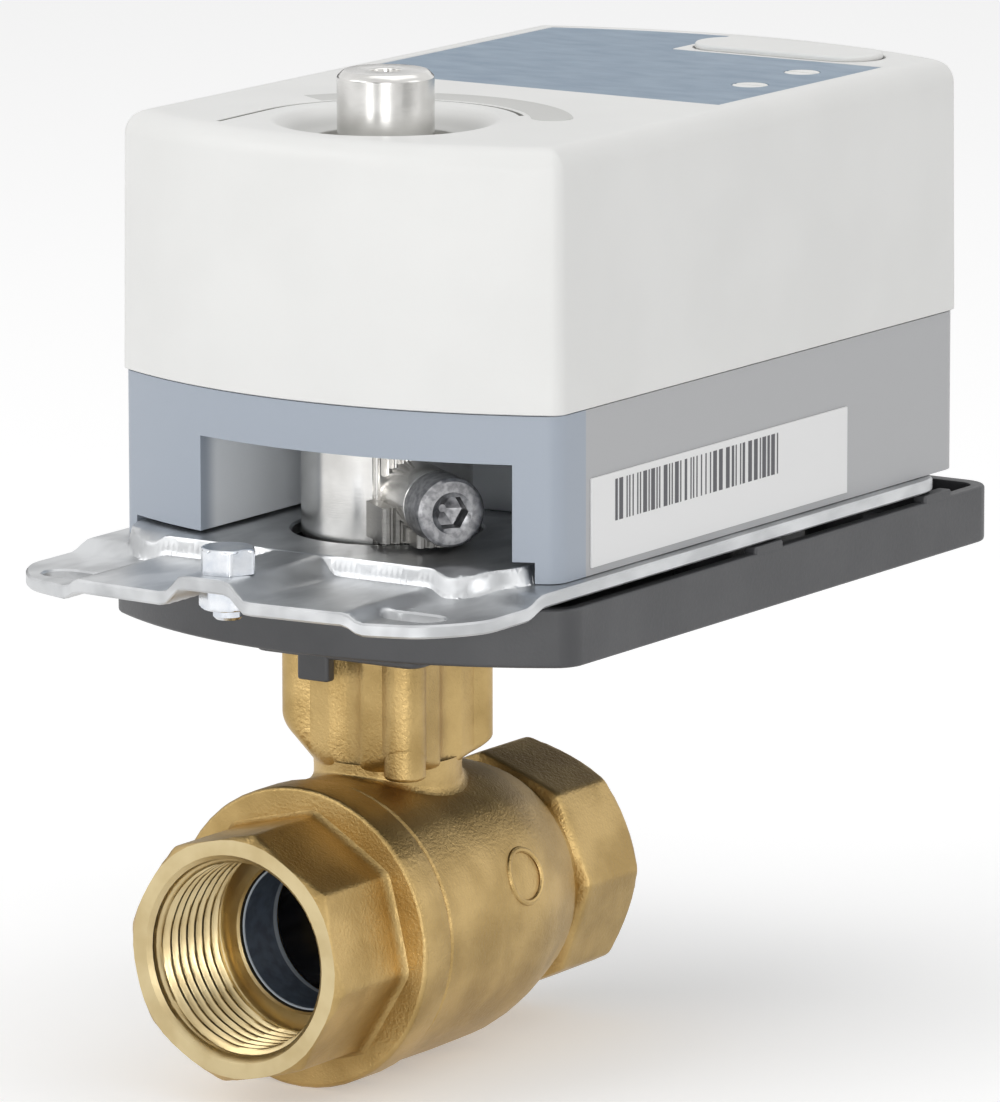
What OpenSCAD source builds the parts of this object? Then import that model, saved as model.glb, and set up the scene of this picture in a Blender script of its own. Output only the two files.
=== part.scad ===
// Motorised ball valve: a two-piece threaded brass ball valve with a rotary actuator on top.
// Lengths are in millimetres. The origin is the centre of the inlet port's end face, +Y runs
// along the flow to the outlet, +Z runs up the stem and +X is to the right of the flow.

/* [Valve] */
// Length of the valve between its two end faces
face_to_face = 72.5; // [70:0.5:78]
// Root radius of the pipe thread in each port
port_r = 13.2; // [12.6:0.1:13.5]
// Depth of the pipe thread in each port
port_depth = 16; // [13:0.5:16.5]
// Width across the flats of the octagonal ends
end_af = 31.5; // [30.5:0.1:33]
// Length of the octagon on the inlet end
inlet_octagon_l = 15; // [14:0.5:16]
// Length of the octagon on the outlet end
outlet_octagon_l = 13; // [11:0.5:14]
// Radius of the round ring behind the inlet octagon
ring_r = 20.1; // [19.8:0.1:21.5]
// Radius of the body round the ball
housing_r = 19.5; // [19:0.1:19.7]
// Radius of the ball
ball_r = 15.2; // [15:0.1:15.5]
// Radius of the bore through the ball
ball_bore_r = 9.6; // [8:0.1:10]
// Radius of the bore through each seat
seat_bore_r = 10.2; // [9.8:0.1:10.8]
// Outer radius of each seat
seat_r = 14.5; // [13.8:0.1:14.6]
// Height of the case bottom above the pipe axis
stem_height = 49; // [48:0.5:56]
// Radius of the stem
stem_r = 4; // [3.5:0.1:4.4]
// Radius of the neck between ball housing and top boss
neck_r = 9.6; // [9:0.1:10]
// Half width of the square top boss
boss_half = 10.8; // [10.4:0.1:11.2]
// Height of the square top boss
boss_h = 21; // [19:0.5:21.5]

/* [Mounting tray and bracket] */
// How far the tray's sides stand out past the bracket's
tray_out = 0.2; // [0:0.1:1]
// Height of the tray's rim
tray_h = 7.8; // [6.5:0.1:8.5]
// Thickness of the tray's rim and floor
tray_wall = 2; // [1.6:0.1:2.6]
// How far the tray runs on behind the case
tray_tail = 7.9; // [4:0.1:14]
// Thickness of the bracket's sheet
sheet_t = 1.8; // [1.5:0.1:2]
// Half width of the bracket
bracket_half = 36; // [35:0.1:38]
// Distance from the stem to the bracket's front edge
bracket_front = 43; // [41:0.5:48]
// Distance from the stem to the bracket's back edge
bracket_back = 86; // [80:0.5:87]
// Distance between the centres of the two ear slots
slot_spacing = 53; // [50:0.5:56]
// End-to-end length of an ear slot
slot_l = 9; // [7:0.5:11]
// Width of an ear slot
slot_w = 5.2; // [4.6:0.1:5.4]
// Radius of the bracket bolt's shank
bolt_r = 2; // [1.6:0.1:2.2]

/* [Actuator case] */
// Width of the case
case_w = 68.4; // [68:0.2:70]
// Distance from the stem to the case's back corners
case_back = 88.8; // [87.4:0.2:90]
// Distance from the stem to the case's front corners
case_front = 11.2; // [11:0.1:13]
// How far the front face bulges between its corners
case_bulge = 8.6; // [8:0.1:9.5]
// How far the back face bulges between its corners
case_tail = 7.4; // [6.8:0.1:7.6]
// Radius of the upright corners of the case
case_corner_r = 3.2; // [2.5:0.1:5]
// Height of the grey base
base_h = 21.9; // [21.5:0.1:24]
// Height of the white cover
cover_h = 34.6; // [34:0.1:40]
// Wall of the base and cover
case_wall = 2.2; // [1.8:0.1:2.4]
// Radius on the cover's top edges
cover_edge_r = 3.2; // [2.6:0.1:3.6]
// Height of the clamp window in the base's front
window_h = 15.5; // [15.2:0.1:15.8]
// Distance from the stem to the window's left side
window_left = 17.6; // [16:0.1:18.5]
// Distance from the stem to the window's right side
window_right = 28.6; // [28.3:0.1:28.7]
// Radius of the room that the clamp screw sweeps
alcove_r = 28.3; // [27.6:0.1:28.3]
// Radius of the hole in the cable inlet
cable_r = 3.2; // [2.6:0.1:3.6]

/* [Output] */
// Radius of the shaft adapter on the valve stem
shaft_r = 6; // [5.6:0.1:6.1]
// Radius of the hub in the gear case
hub_r = 8; // [7.8:0.1:8.4]
// Radius of the hub's collar in the clamp window
collar_r = 11.3; // [10.5:0.1:11.8]
// Radius of the hub's end that shows on top
stub_r = 6.4; // [6.2:0.1:6.8]
// How far the hub stands above the cover
stub_h = 6.5; // [4:0.5:9]
// Radius of the clamp screw's shank
clamp_screw_r = 2.5; // [2:0.1:2.6]
// Distance from the stem to the clamp screw's head
clamp_reach = 19.5; // [18.5:0.1:20]

/* [Gear train] */
// Tooth module of the output sector and the first pinion
output_module = 0.8; // [0.78:0.01:0.82]
// Teeth that a full output gear would have
output_teeth = 60; // [60:4:60]
// Tooth module of the first wheel and the second pinion
first_module = 0.7; // [0.68:0.01:0.72]
// Tooth module of the second and third wheels
fine_module = 0.6; // [0.58:0.01:0.62]
// Teeth on the first pinion
first_pinion_teeth = 15; // [15:1:15]
// Teeth on the other pinions
pinion_teeth = 12; // [12:1:12]
// Teeth on the first and second wheels
wheel_teeth = 36; // [36:1:36]
// Teeth on the third wheel
third_wheel_teeth = 30; // [30:1:30]
// Radius of the gear axles
axle_r = 1.25; // [1:0.05:1.4]
// Radius of the motor's can
motor_r = 13; // [12:0.5:14]

/* [Hidden] */
$fn = 64;

// Overrun of a cut past the face that it opens
over = 1;
// Gap between flat faces that nearly touch
face_gap = 0.1;
// Gap of a sliding or turning fit, on the radius
run_gap = 0.05;
// Gap of a piece fixed in its seat
seat_gap = 0.02;
// Gap between separate pieces that don't fit together
clear_gap = 0.3;

// Valve
stem_y = face_to_face / 2;
end_r = end_af / 2 / cos(22.5);
inlet_turn = 9;
outlet_turn = -2;
rim_chamfer = 1.2;
port_chamfer = 0.6;
ring_l = 6.2;
ring_back = inlet_octagon_l + ring_l;
cap_gap = face_gap;
body_start = ring_back + cap_gap;
nose_wall = 1.6;
nose_r = seat_r + nose_wall;
seat_depth = 0.36;
seat_back = ball_r - seat_depth;
seat_front = 9;
seat_seat_y = stem_y - seat_back;
nose_end = stem_y - seat_front - clear_gap;
seal_w = 1.7;
seal_t = 0.9;
neck_taper_r = 16;
groove_r = 15;
groove_l = 2.2;
outlet_step = face_to_face - outlet_octagon_l;
taper_start = stem_y + ball_r - seat_gap - 4 * seal_w;
boss_drop = 7.5;
boss_top = stem_height - boss_drop;
boss_bottom = boss_top - boss_h;
lobe_r = 2.8;
lobe_at = boss_half - lobe_r;
notch_r = 3.4;
lobe_drop = 1.4;
chamfer_share = 0.8;
tang_w = 4.9;
tang_l = 9;
slot_skin = 1.9;
slot_floor = ball_bore_r + slot_skin;
shoulder_r = 5.5;
shoulder_t = 1.9;
shoulder_z = ball_r + face_gap;
washer_t = 0.4;
washer_z = shoulder_z + shoulder_t + run_gap;
seal_groove = 1;
seal_h = 2;
seal_zs = [boss_bottom + seal_h, boss_bottom + 3 * seal_h];
gland_r = 6.5;
packing_rise = 11;
packing_z = boss_bottom + packing_rise;
packing_t = 3;
gland_z = packing_z + packing_t + face_gap;
gland_t = 4.2;
stem_square = 5.6;
stem_square_l = 6;
stem_top = boss_top + stem_square_l;

// Tray and bracket
tray_drop = 10.9;
tray_front = 11;
tray_bulge = 11.5;
tray_crown = 0.6;
tray_back = case_back + tray_tail;
tray_rim_z = tray_h - tray_drop;
socket_wall = 1.9;
socket_gap = clear_gap;
socket_half = boss_half + socket_gap;
socket_depth = 2.5;
lug_w = 4.9;
lug_x = -5.7;
lug_depth = 5.6;
platform_t = 3;
stem_hole_r = shaft_r + 1;
tray_screw_r = 1.5;
tray_screw_head_r = 2.7;
tray_screw_head_t = 1.8;
tray_screw_l = 10;
sheet_z = -face_gap - sheet_t;
ear_drop = 1.2;
bridge_rise = 2.4;
bridge_half = 3.5;
bridge_foot = 6.3;
ear_start = 21;
ear_ramp = 1.8;
emboss_half = 31;
emboss_front = 21.5;
emboss_back = 14.5;
emboss_rise = 2.5;
emboss_corner_r = 9;
emboss_slope = 2;
ear_side = 30.5;
ear_out = 34;
ear_out_y = 34.5;
ear_in = 30;
ear_in_y = 38.6;
ear_foot = 21;
ear_foot_y = 41.5;
back_corner = 5;
bracket_hole_gap = 1.3;
bracket_hole_r = collar_r + bracket_hole_gap;
slot_y = -33.8;
bolt_y = -36.9;
bolt_head_af = 6.8;
bolt_head_h = 3.3;
bolt_turn = 8;
bolt_end = 3.8;
nut_af = 6.8;
nut_h = 2.9;
mount_screw_x = 24;
mount_screw_ys = [40, 74];
mount_screw_r = 1.5;
mount_boss_r = 4;
mount_screw_head_r = 2.8;
mount_screw_head_t = 1.8;
mount_screw_l = 12;

// Case
case_half = case_w / 2;
tray_half = bracket_half + tray_out;
case_h = base_h + cover_h;
floor_t = 2;
deck_t = 2;
deck_z = window_h + deck_t;
alcove_wall = 1.6;
top_t = 2.5;
top_in = case_h - top_t;
corner_boss_r = 2.7;
corner_screw_r = 1.25;
corner_head_r = 2;
corner_head_t = 2;
corner_side = 3;
corner_in = 5;
corner_front_x = case_half - corner_side;
corner_back_x = case_half - corner_in;
corner_front_y = -7;
corner_back_y = case_back - corner_in;
corner_screw_l = 24;
front_head_z = emboss_rise + clear_gap;
cover_flare = 0.3;
side_share = 0.7;
bulge_share = 0.3;
gasket_in = 0.6;
gasket_w = 0.9;
gasket_h = 0.9;
dish_r = 14.4;
dish_d = 2.4;
dish_hole_r = 9.7;
dish_boss_r = 16;
label_front = 34.5;
label_edge = 2.4;
case_rear_r = (case_half * case_half + case_tail * case_tail) / 2 / case_tail;
case_rear_y = case_back + case_tail - case_rear_r;
label_half = 29.6;
label_t = 0.5;
label_dip = 0.6;
side_label_y = [-4, 60];
side_label_z = [1, 12.8];
side_label_t = 0.3;
arc_groove_r = 18;
arc_groove_w = 0.8;
arc_groove_d = 0.4;
scale_in_r = 19;
scale_out_r = 24.5;
scale_t = 0.3;
scale_from = 35;
scale_to = 150;
grommet_wall = 1.5;
grommet_lip = 1.9;
grommet_neck_r = cable_r + grommet_wall;
grommet_flange_r = grommet_neck_r + grommet_lip;
grommet_sag = 0.35;
grommet_z = base_h / 2;

// Output
shaft_z = boss_top + clear_gap;
hub_bottom = 1.5;
collar_top = window_h - 2 * clear_gap;
shaft_l_top = 42;
hub_step_z = 45;
hub_top = case_h + stub_h;
screw_turn = -37;
screw_z = 8.6;
clamp_boss_r = 4.9;
jaw_r = 9.2;
jaw_w = 5;
jaw_h = 8;
clamp_head_r = 4.35;
clamp_head_l = 6;
clamp_hex_r = 2.3;
clamp_hex_d = 3;
bush_t = 1.6;
upper_bush_h = 3;
upper_bush_z = hub_step_z + face_gap;

// Gear train
plate_t = 1.5;
level_gap = 0.5;
lower_plate_z = deck_z + level_gap;
gear_z = lower_plate_z + plate_t + level_gap + clear_gap;
output_gear_t = 5;
wheel_t = 2.5;
pressure_share = 25;
addendum_share = 0.9;
dedendum_share = 1.2;
backlash = 0.12;
second_z = gear_z + output_gear_t + level_gap;
third_z = second_z + wheel_t + level_gap;
fourth_z = third_z + wheel_t + level_gap;
upper_plate_z = fourth_z + wheel_t + 2 * level_gap;
output_pitch_r = output_module * output_teeth / 2;
first_pinion_r = output_module * first_pinion_teeth / 2;
first_wheel_r = first_module * wheel_teeth / 2;
second_pinion_r = first_module * pinion_teeth / 2;
second_wheel_r = fine_module * wheel_teeth / 2;
third_pinion_r = fine_module * pinion_teeth / 2;
third_wheel_r = fine_module * third_wheel_teeth / 2;
motor_pinion_r = fine_module * pinion_teeth / 2;
first_turn = 90;
second_turn = 35;
third_turn = 100;
motor_turn = 150;
first_at = step_to([0, 0], output_pitch_r + first_pinion_r, first_turn);
second_at = step_to(first_at, first_wheel_r + second_pinion_r, second_turn);
third_at = step_to(second_at, second_wheel_r + third_pinion_r, third_turn);
motor_at = step_to(third_at, third_wheel_r + motor_pinion_r, motor_turn);
sector_teeth = [-3, 18];
sector_hub_r = hub_r + 2 * bush_t;
sector_arc_steps = 40;
plate_in = 1.2;
plate_half = case_half - case_wall - plate_in;
plate_front = 8;
plate_back = 72;
pillar_r = 2.3;
pillar_x = plate_half - pillar_r - clear_gap;
pillar_ys = [15, 67];
plate_screw_r = 1.2;
plate_screw_head_r = 2;
plate_screw_head_t = 1.4;
motor_wall = 0.8;
motor_l = 15;
motor_top = lower_plate_z - face_gap;
motor_z = motor_top - motor_l;
rotor_r = 8;
rotor_shaft_r = 1;
coil_in_r = 8.8;
motor_screw_at = motor_r + rotor_shaft_r;
motor_ear_r = 2.6;
motor_screw_r = 1;
cam_r = 9.6;
cam_lobe_r = 11.4;
cam_t = 3;
cam_z = upper_plate_z + plate_t + 2 * clear_gap;
switch_w = 6;
switch_h = 5.5;
switch_x = cam_lobe_r + 2 * clear_gap;
plunger_r = 0.9;
switch_in = 4.2;
switch_l = case_half - case_wall - switch_in - switch_x - 2 * plunger_r;

// Board, dials and release
board_rise = 4;
board_z = upper_plate_z + plate_t + board_rise;
board_t = 1.6;
board_in = 3.5;
board_half = case_half - case_wall - board_in;
board_front = 20;
board_back = 77;
spacer_r = 2;
spacer_in = 3.5;
spacer_x = board_half - spacer_in;
spacer_ys = [25, 60];
board_screw_head_t = 1.2;
dial_r = 2.4;
dial_ats = [[23.2, 53], [22.8, 67]];
dial_shaft_r = 1.2;
dial_rise = 3;
dial_z = board_z + board_t + dial_rise;
trimmer_w = 6;
trimmer_h = 2.6;
button_x = [-3, 25.5];
button_y = [77.6, 87.4];
button_rise = [-0.1, 0.7];
button_travel = 1.2;
button_stem_x = [10, 16];
button_stem_l = 8;
spring_r = 2.2;
spring_wire_r = 0.3;
spring_turns = 6;
spring_l = 8;
spring_at = [13, 82.5];
post_r = 3;

function step_to(p, d, turn) = [p[0] + d * cos(turn), p[1] + d * sin(turn)];
function arc(c, r, a0, a1, n) = [
    for (i = [0:n]) [c[0] + r * cos(a0 + (a1 - a0) * i / n), c[1] + r * sin(a0 + (a1 - a0) * i / n)]
];

// Plan of the case or tray: straight sides, a bulging front and back, and rounded corners.
// Each bulge is one arc, of radius big at the front and rear at the back.
function case_plan(half, front, bulge, back, tail, corner) =
    let (
        rear = (half * half + tail * tail) / 2 / tail,
        rear_y = back + tail - rear,
        tail_y = rear_y + sqrt(pow(rear - corner, 2) - pow(half - corner, 2)),
        part = atan2(tail_y - rear_y, half - corner),
        big = (half * half + bulge * bulge) / 2 / bulge,
        big_y = big - front - bulge,
        corner_y = big_y - sqrt(pow(big - corner, 2) - pow(half - corner, 2)),
        meet = atan2(corner_y - big_y, half - corner)
    )
    concat(
        arc([0, big_y], big, -180 - meet, meet, 16),
        arc([half - corner, corner_y], corner, meet, 0, 5),
        arc([half - corner, tail_y], corner, 0, part, 5),
        arc([0, rear_y], rear, part, 180 - part, 16),
        arc([corner - half, tail_y], corner, 180 - part, 180, 5),
        arc([corner - half, corner_y], corner, 180, 180 - meet, 5)
    );

module case_shape(inset) {
    polygon(case_plan(case_half - inset, case_front - inset * side_share, case_bulge - inset * bulge_share,
        case_back - inset * side_share, case_tail - inset * bulge_share,
        max(case_corner_r - inset, bulge_share * case_corner_r)));
}

module tray_shape(inset) {
    polygon(case_plan(tray_half - inset, tray_front - inset * side_share, tray_bulge - inset * bulge_share,
        tray_back - inset, tray_crown, max(case_corner_r - inset, bulge_share * case_corner_r)));
}

// Moves to the point on the stem axis at the bottom of the case.
module at_case() {
    translate([0, stem_y, stem_height]) children();
}

module at_stem(z) {
    translate([0, stem_y, z]) children();
}

// Turns a shape drawn up the Z axis so that it runs along the flow from y.
module along_flow(y) {
    translate([0, y, 0]) rotate([-90, 0, 0]) children();
}

module tube(outer, inner, l) {
    difference() {
        cylinder(r = outer, h = l);
        translate([0, 0, -over]) cylinder(r = inner, h = l + 2 * over);
    }
}

// Octagonal spanner end with its outer edge turned to a chamfer.
module octagon_end(l, turn, rim_first) {
    intersection() {
        rotate([0, 0, turn]) cylinder(r = end_r, h = l, $fn = 8);
        rotate_extrude() polygon(rim_first
            ? [[0, 0], [end_r - rim_chamfer, 0], [end_r + over, rim_chamfer + over], [end_r + over, l],
                [0, l]]
            : [[0, 0], [end_r + over, 0], [end_r + over, l - rim_chamfer - over],
                [end_r - rim_chamfer, l], [0, l]]
        );
    }
}

// One spur gear of involute teeth, with a tooth centred on the +X axis.
function involute_turn(base, r) = sqrt(pow(r / base, 2) - 1) * 180 / PI - acos(base / r);
function gear_points(m, z) =
    let (
        pitch = m * z / 2,
        base = pitch * cos(pressure_share),
        tip = pitch + m * addendum_share,
        root = pitch - m * dedendum_share,
        half = 90 / z + involute_turn(base, pitch) - backlash / 2 / pitch * 180 / PI,
        start = max(base, root),
        rs = [for (i = [0:4]) start + (tip - start) * i / 4],
        foot = root < base ? [root] : []
    )
    [for (t = [0:z - 1]) let (a = t * 360 / z) each concat(
        [for (r = foot) [r * cos(a - half), r * sin(a - half)]],
        [for (r = rs) let (b = a - half + involute_turn(base, r)) [r * cos(b), r * sin(b)]],
        [for (i = [4:-1:0]) let (r = rs[i], b = a + half - involute_turn(base, r))
            [r * cos(b), r * sin(b)]],
        [for (r = foot) [r * cos(a + half), r * sin(a + half)]]
    )];

module gear(m, z, h, turn) {
    rotate([0, 0, turn]) linear_extrude(h) polygon(gear_points(m, z));
}

module socket_screw(r, l, head_r, head_l, hex_r, hex_d) {
    difference() {
        union() {
            cylinder(r = r, h = l);
            translate([0, 0, l]) cylinder(r = head_r, h = head_l);
        }
        translate([0, 0, l + head_l - hex_d]) cylinder(r = hex_r, h = hex_d + over, $fn = 6);
    }
}

module slotted_screw(r, l, head_r, head_t) {
    difference() {
        union() {
            cylinder(r = r, h = l);
            translate([0, 0, l]) cylinder(r = head_r, h = head_t);
        }
        translate([-head_r - over, -head_t / 4, l + head_t / 2])
            cube([2 * (head_r + over), head_t / 2, head_t]);
    }
}

// Valve

module valve_body() {
    color([0.74, 0.61, 0.36])
    difference() {
        union() {
            along_flow(0) rotate_extrude() polygon([
                [0, body_start],
                [housing_r - port_chamfer, body_start],
                [housing_r, body_start + port_chamfer],
                [housing_r, taper_start],
                [(housing_r + neck_taper_r) / 2 + port_chamfer, (taper_start + outlet_step - groove_l) / 2],
                [neck_taper_r, outlet_step - groove_l - port_chamfer],
                [groove_r, outlet_step - groove_l],
                [groove_r, outlet_step],
                [0, outlet_step]
            ]);
            along_flow(outlet_step) octagon_end(outlet_octagon_l, outlet_turn, false);
            at_stem(0) cylinder(r = neck_r, h = boss_bottom + over);
            top_boss();
            translate([lobe_at, stem_y - lobe_at, boss_bottom - lobe_drop])
                cylinder(r = lobe_r - seat_gap, h = boss_h / 2);
        }
        along_flow(body_start - over)
            cylinder(r = nose_r + seat_gap, h = stem_y + seat_front - body_start + over);
        along_flow(stem_y) cylinder(r = seat_r + seat_gap, h = seat_back);
        along_flow(stem_y) cylinder(r = seat_bore_r, h = face_to_face);
        along_flow(face_to_face - port_depth) cylinder(r = port_r, h = port_depth + over);
        along_flow(body_start - over)
            cylinder(r = nose_r + seal_w + 2 * seat_gap, h = seal_t + face_gap + over);
        at_stem(ball_r) cylinder(r = shoulder_r + face_gap, h = washer_z + washer_t + run_gap - ball_r);
        at_stem(0) cylinder(r = stem_r + run_gap, h = boss_top + over);
        at_stem(packing_z) cylinder(r = gland_r, h = boss_top - packing_z + over);
        for (x = [-1, 1])
            for (y = [-1, 1])
                translate([x * lobe_at, stem_y + y * lobe_at, boss_top - tray_screw_l])
                    cylinder(r = tray_screw_r + seat_gap, h = tray_screw_l + over);
    }
}

// Square boss with a round lobe at each corner and a hollow in the middle of each side.
module top_boss() {
    at_stem(boss_bottom) intersection() {
        linear_extrude(boss_h) difference() {
            union() {
                square(2 * (boss_half - lobe_r / 3), center = true);
                for (x = [-1, 1])
                    for (y = [-1, 1])
                        translate([x * lobe_at, y * lobe_at]) circle(r = lobe_r);
            }
            for (turn = [0:90:270])
                rotate(turn) translate([boss_half + notch_r / 2, 0]) circle(r = notch_r);
        }
        cylinder(r1 = neck_r, r2 = neck_r + chamfer_share * boss_h, h = boss_h);
    }
}

module end_cap() {
    color([0.76, 0.63, 0.38])
    difference() {
        union() {
            along_flow(0) octagon_end(inlet_octagon_l + over, inlet_turn, true);
            along_flow(inlet_octagon_l) cylinder(r = ring_r, h = ring_l);
            along_flow(ring_back - over) cylinder(r = nose_r - seat_gap, h = nose_end - ring_back + over);
        }
        along_flow(-over) cylinder(r = port_r, h = port_depth + over);
        along_flow(-over) cylinder(r = seat_bore_r, h = nose_end + 2 * over);
        along_flow(seat_seat_y - face_gap) cylinder(r = seat_r + seat_gap, h = nose_end);
    }
}

module body_seal() {
    color([0.9, 0.9, 0.88])
    along_flow(body_start) tube(nose_r + seal_w, nose_r + seat_gap, seal_t);
}

module ball() {
    color([0.82, 0.83, 0.85])
    difference() {
        at_stem(0) sphere(r = ball_r);
        along_flow(0) cylinder(r = ball_bore_r, h = face_to_face);
        at_stem(slot_floor) translate([-ball_r, -tang_w / 2 - run_gap, 0])
            cube([2 * ball_r, tang_w + 2 * run_gap, ball_r]);
    }
}

module seat() {
    difference() {
        along_flow(stem_y - seat_back) tube(seat_r, seat_bore_r, seat_back - seat_front);
        at_stem(0) sphere(r = ball_r + run_gap);
    }
}

module inlet_seat() {
    color([0.23, 0.27, 0.33]) seat();
}

module outlet_seat() {
    color([0.23, 0.27, 0.33]) translate([0, 2 * stem_y, 0]) mirror([0, 1, 0]) seat();
}

module stem() {
    color([0.72, 0.7, 0.66])
    difference() {
        union() {
            at_stem(slot_floor + face_gap) translate([-tang_l / 2, -tang_w / 2, 0])
                cube([tang_l, tang_w, shoulder_z + face_gap - slot_floor]);
            at_stem(shoulder_z) cylinder(r = shoulder_r, h = shoulder_t);
            at_stem(shoulder_z) cylinder(r = stem_r, h = boss_top - shoulder_z);
            at_stem(boss_top) translate([-stem_square / 2, -stem_square / 2, 0])
                cube([stem_square, stem_square, stem_square_l]);
        }
        for (z = seal_zs)
            at_stem(z) tube(stem_r + over, stem_r - seal_groove, seal_h);
    }
}

module stem_seals() {
    color([0.12, 0.12, 0.13])
    for (z = seal_zs)
        at_stem(z + seat_gap) tube(stem_r + seat_gap, stem_r - seal_groove + seat_gap, seal_h - 2 * seat_gap);
}

module thrust_washer() {
    color([0.9, 0.9, 0.88])
    at_stem(washer_z) tube(shoulder_r, stem_r + run_gap, washer_t);
}

module packing() {
    color([0.88, 0.88, 0.86])
    at_stem(packing_z + seat_gap) tube(gland_r - seat_gap, stem_r + run_gap, packing_t);
}

module gland_nut() {
    color([0.78, 0.66, 0.4])
    difference() {
        at_stem(gland_z) tube(gland_r - seat_gap, stem_r + 2 * run_gap, gland_t);
        at_stem(gland_z + gland_t - over) translate([-gland_r, -over / 2, 0])
            cube([2 * gland_r, over, 2 * over]);
    }
}

// Tray and bracket

module mounting_tray() {
    color([0.3, 0.31, 0.33])
    at_case() difference() {
        union() {
            translate([0, 0, -tray_drop]) difference() {
                linear_extrude(tray_h) tray_shape(0);
                translate([0, 0, tray_wall]) linear_extrude(tray_h) tray_shape(tray_wall);
            }
            translate([-socket_half - socket_wall, -socket_half - socket_wall, -tray_drop - socket_depth])
                cube([2 * (socket_half + socket_wall), 2 * (socket_half + socket_wall),
                    tray_drop + socket_depth + boss_top - stem_height + platform_t]);
            translate([lug_x, -socket_half - socket_wall, -tray_drop - lug_depth])
                cube([lug_w, socket_wall, lug_depth + over]);
            for (x = [-1, 1])
                for (y = mount_screw_ys)
                    translate([x * mount_screw_x, y, -tray_drop])
                        cylinder(r = mount_boss_r, h = tray_drop + sheet_z - seat_gap);
            for (x = [-1, 1])
                translate([x * mount_screw_x / 2 - tray_wall / 2, socket_half, -tray_drop])
                    cube([tray_wall, tray_back - socket_half - tray_wall, tray_h - tray_wall]);
        }
        translate([-socket_half, -socket_half, -tray_drop - lug_depth - over])
            cube([2 * socket_half, 2 * socket_half,
                tray_drop + lug_depth + over + boss_top - stem_height + face_gap]);
        translate([0, 0, -tray_drop]) cylinder(r = stem_hole_r, h = tray_drop);
        for (x = [-1, 1])
            for (y = [-1, 1])
                translate([x * lobe_at, y * lobe_at, -tray_drop])
                    cylinder(r = tray_screw_r + face_gap, h = tray_drop);
        for (x = [-1, 1])
            for (y = mount_screw_ys)
                translate([x * mount_screw_x, y, -tray_drop - over]) {
                    cylinder(r = mount_screw_r + face_gap, h = tray_drop + over);
                    cylinder(r = mount_screw_head_r + face_gap, h = mount_screw_head_t + face_gap + over);
                }
    }
}

module tray_screws() {
    color([0.8, 0.81, 0.82])
    for (x = [-1, 1])
        for (y = [-1, 1])
            translate([x * lobe_at, stem_y + y * lobe_at, boss_top + platform_t + face_gap + seat_gap - tray_screw_l])
                slotted_screw(tray_screw_r, tray_screw_l, tray_screw_head_r, tray_screw_head_t);
}

// Outline of the bracket seen from above.
module bracket_plan() {
    half = [
        [0, -bracket_front],
        [ear_foot, -ear_foot_y],
        [ear_in, -ear_in_y],
        [ear_out, -ear_out_y],
        [bracket_half, -ear_side],
        [bracket_half, bracket_back - back_corner],
        [bracket_half - back_corner, bracket_back]
    ];
    polygon(concat(half, [for (i = [len(half) - 1:-1:1]) [-half[i][0], half[i][1]]]));
}

// Cross-section of the bracket's front: low ears, a level step and a raised bridge.
function bracket_section() = let (
    half = [
        [bridge_half, bridge_rise],
        [bridge_foot, 0],
        [ear_start, 0],
        [ear_start + ear_ramp, -ear_drop],
        [bracket_half, -ear_drop]
    ],
    right = [for (p = half) p],
    left = [for (i = [len(half) - 1:-1:0]) [-half[i][0], half[i][1]]],
    top = concat(left, right)
) concat(top, [for (i = [len(top) - 1:-1:0]) [top[i][0], top[i][1] - sheet_t]]);

module emboss_shape(inset) {
    half = emboss_half - inset;
    front = -emboss_front + inset;
    back = emboss_back - inset;
    r = emboss_corner_r - inset;
    polygon(concat(
        arc([-half + r, front + r], r, 180, 270, 6),
        arc([half - r, front + r], r, 270, 360, 6),
        arc([half - r, back - r], r, 0, 90, 6),
        arc([-half + r, back - r], r, 90, 180, 6)
    ));
}

// Raised floor with sloping sides, from z0 up to z1.
module emboss_block(inset, z0, z1) {
    hull() {
        translate([0, 0, z0]) linear_extrude(seat_gap) emboss_shape(inset);
        translate([0, 0, z1 - seat_gap]) linear_extrude(seat_gap) emboss_shape(inset + emboss_slope);
    }
}

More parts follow.
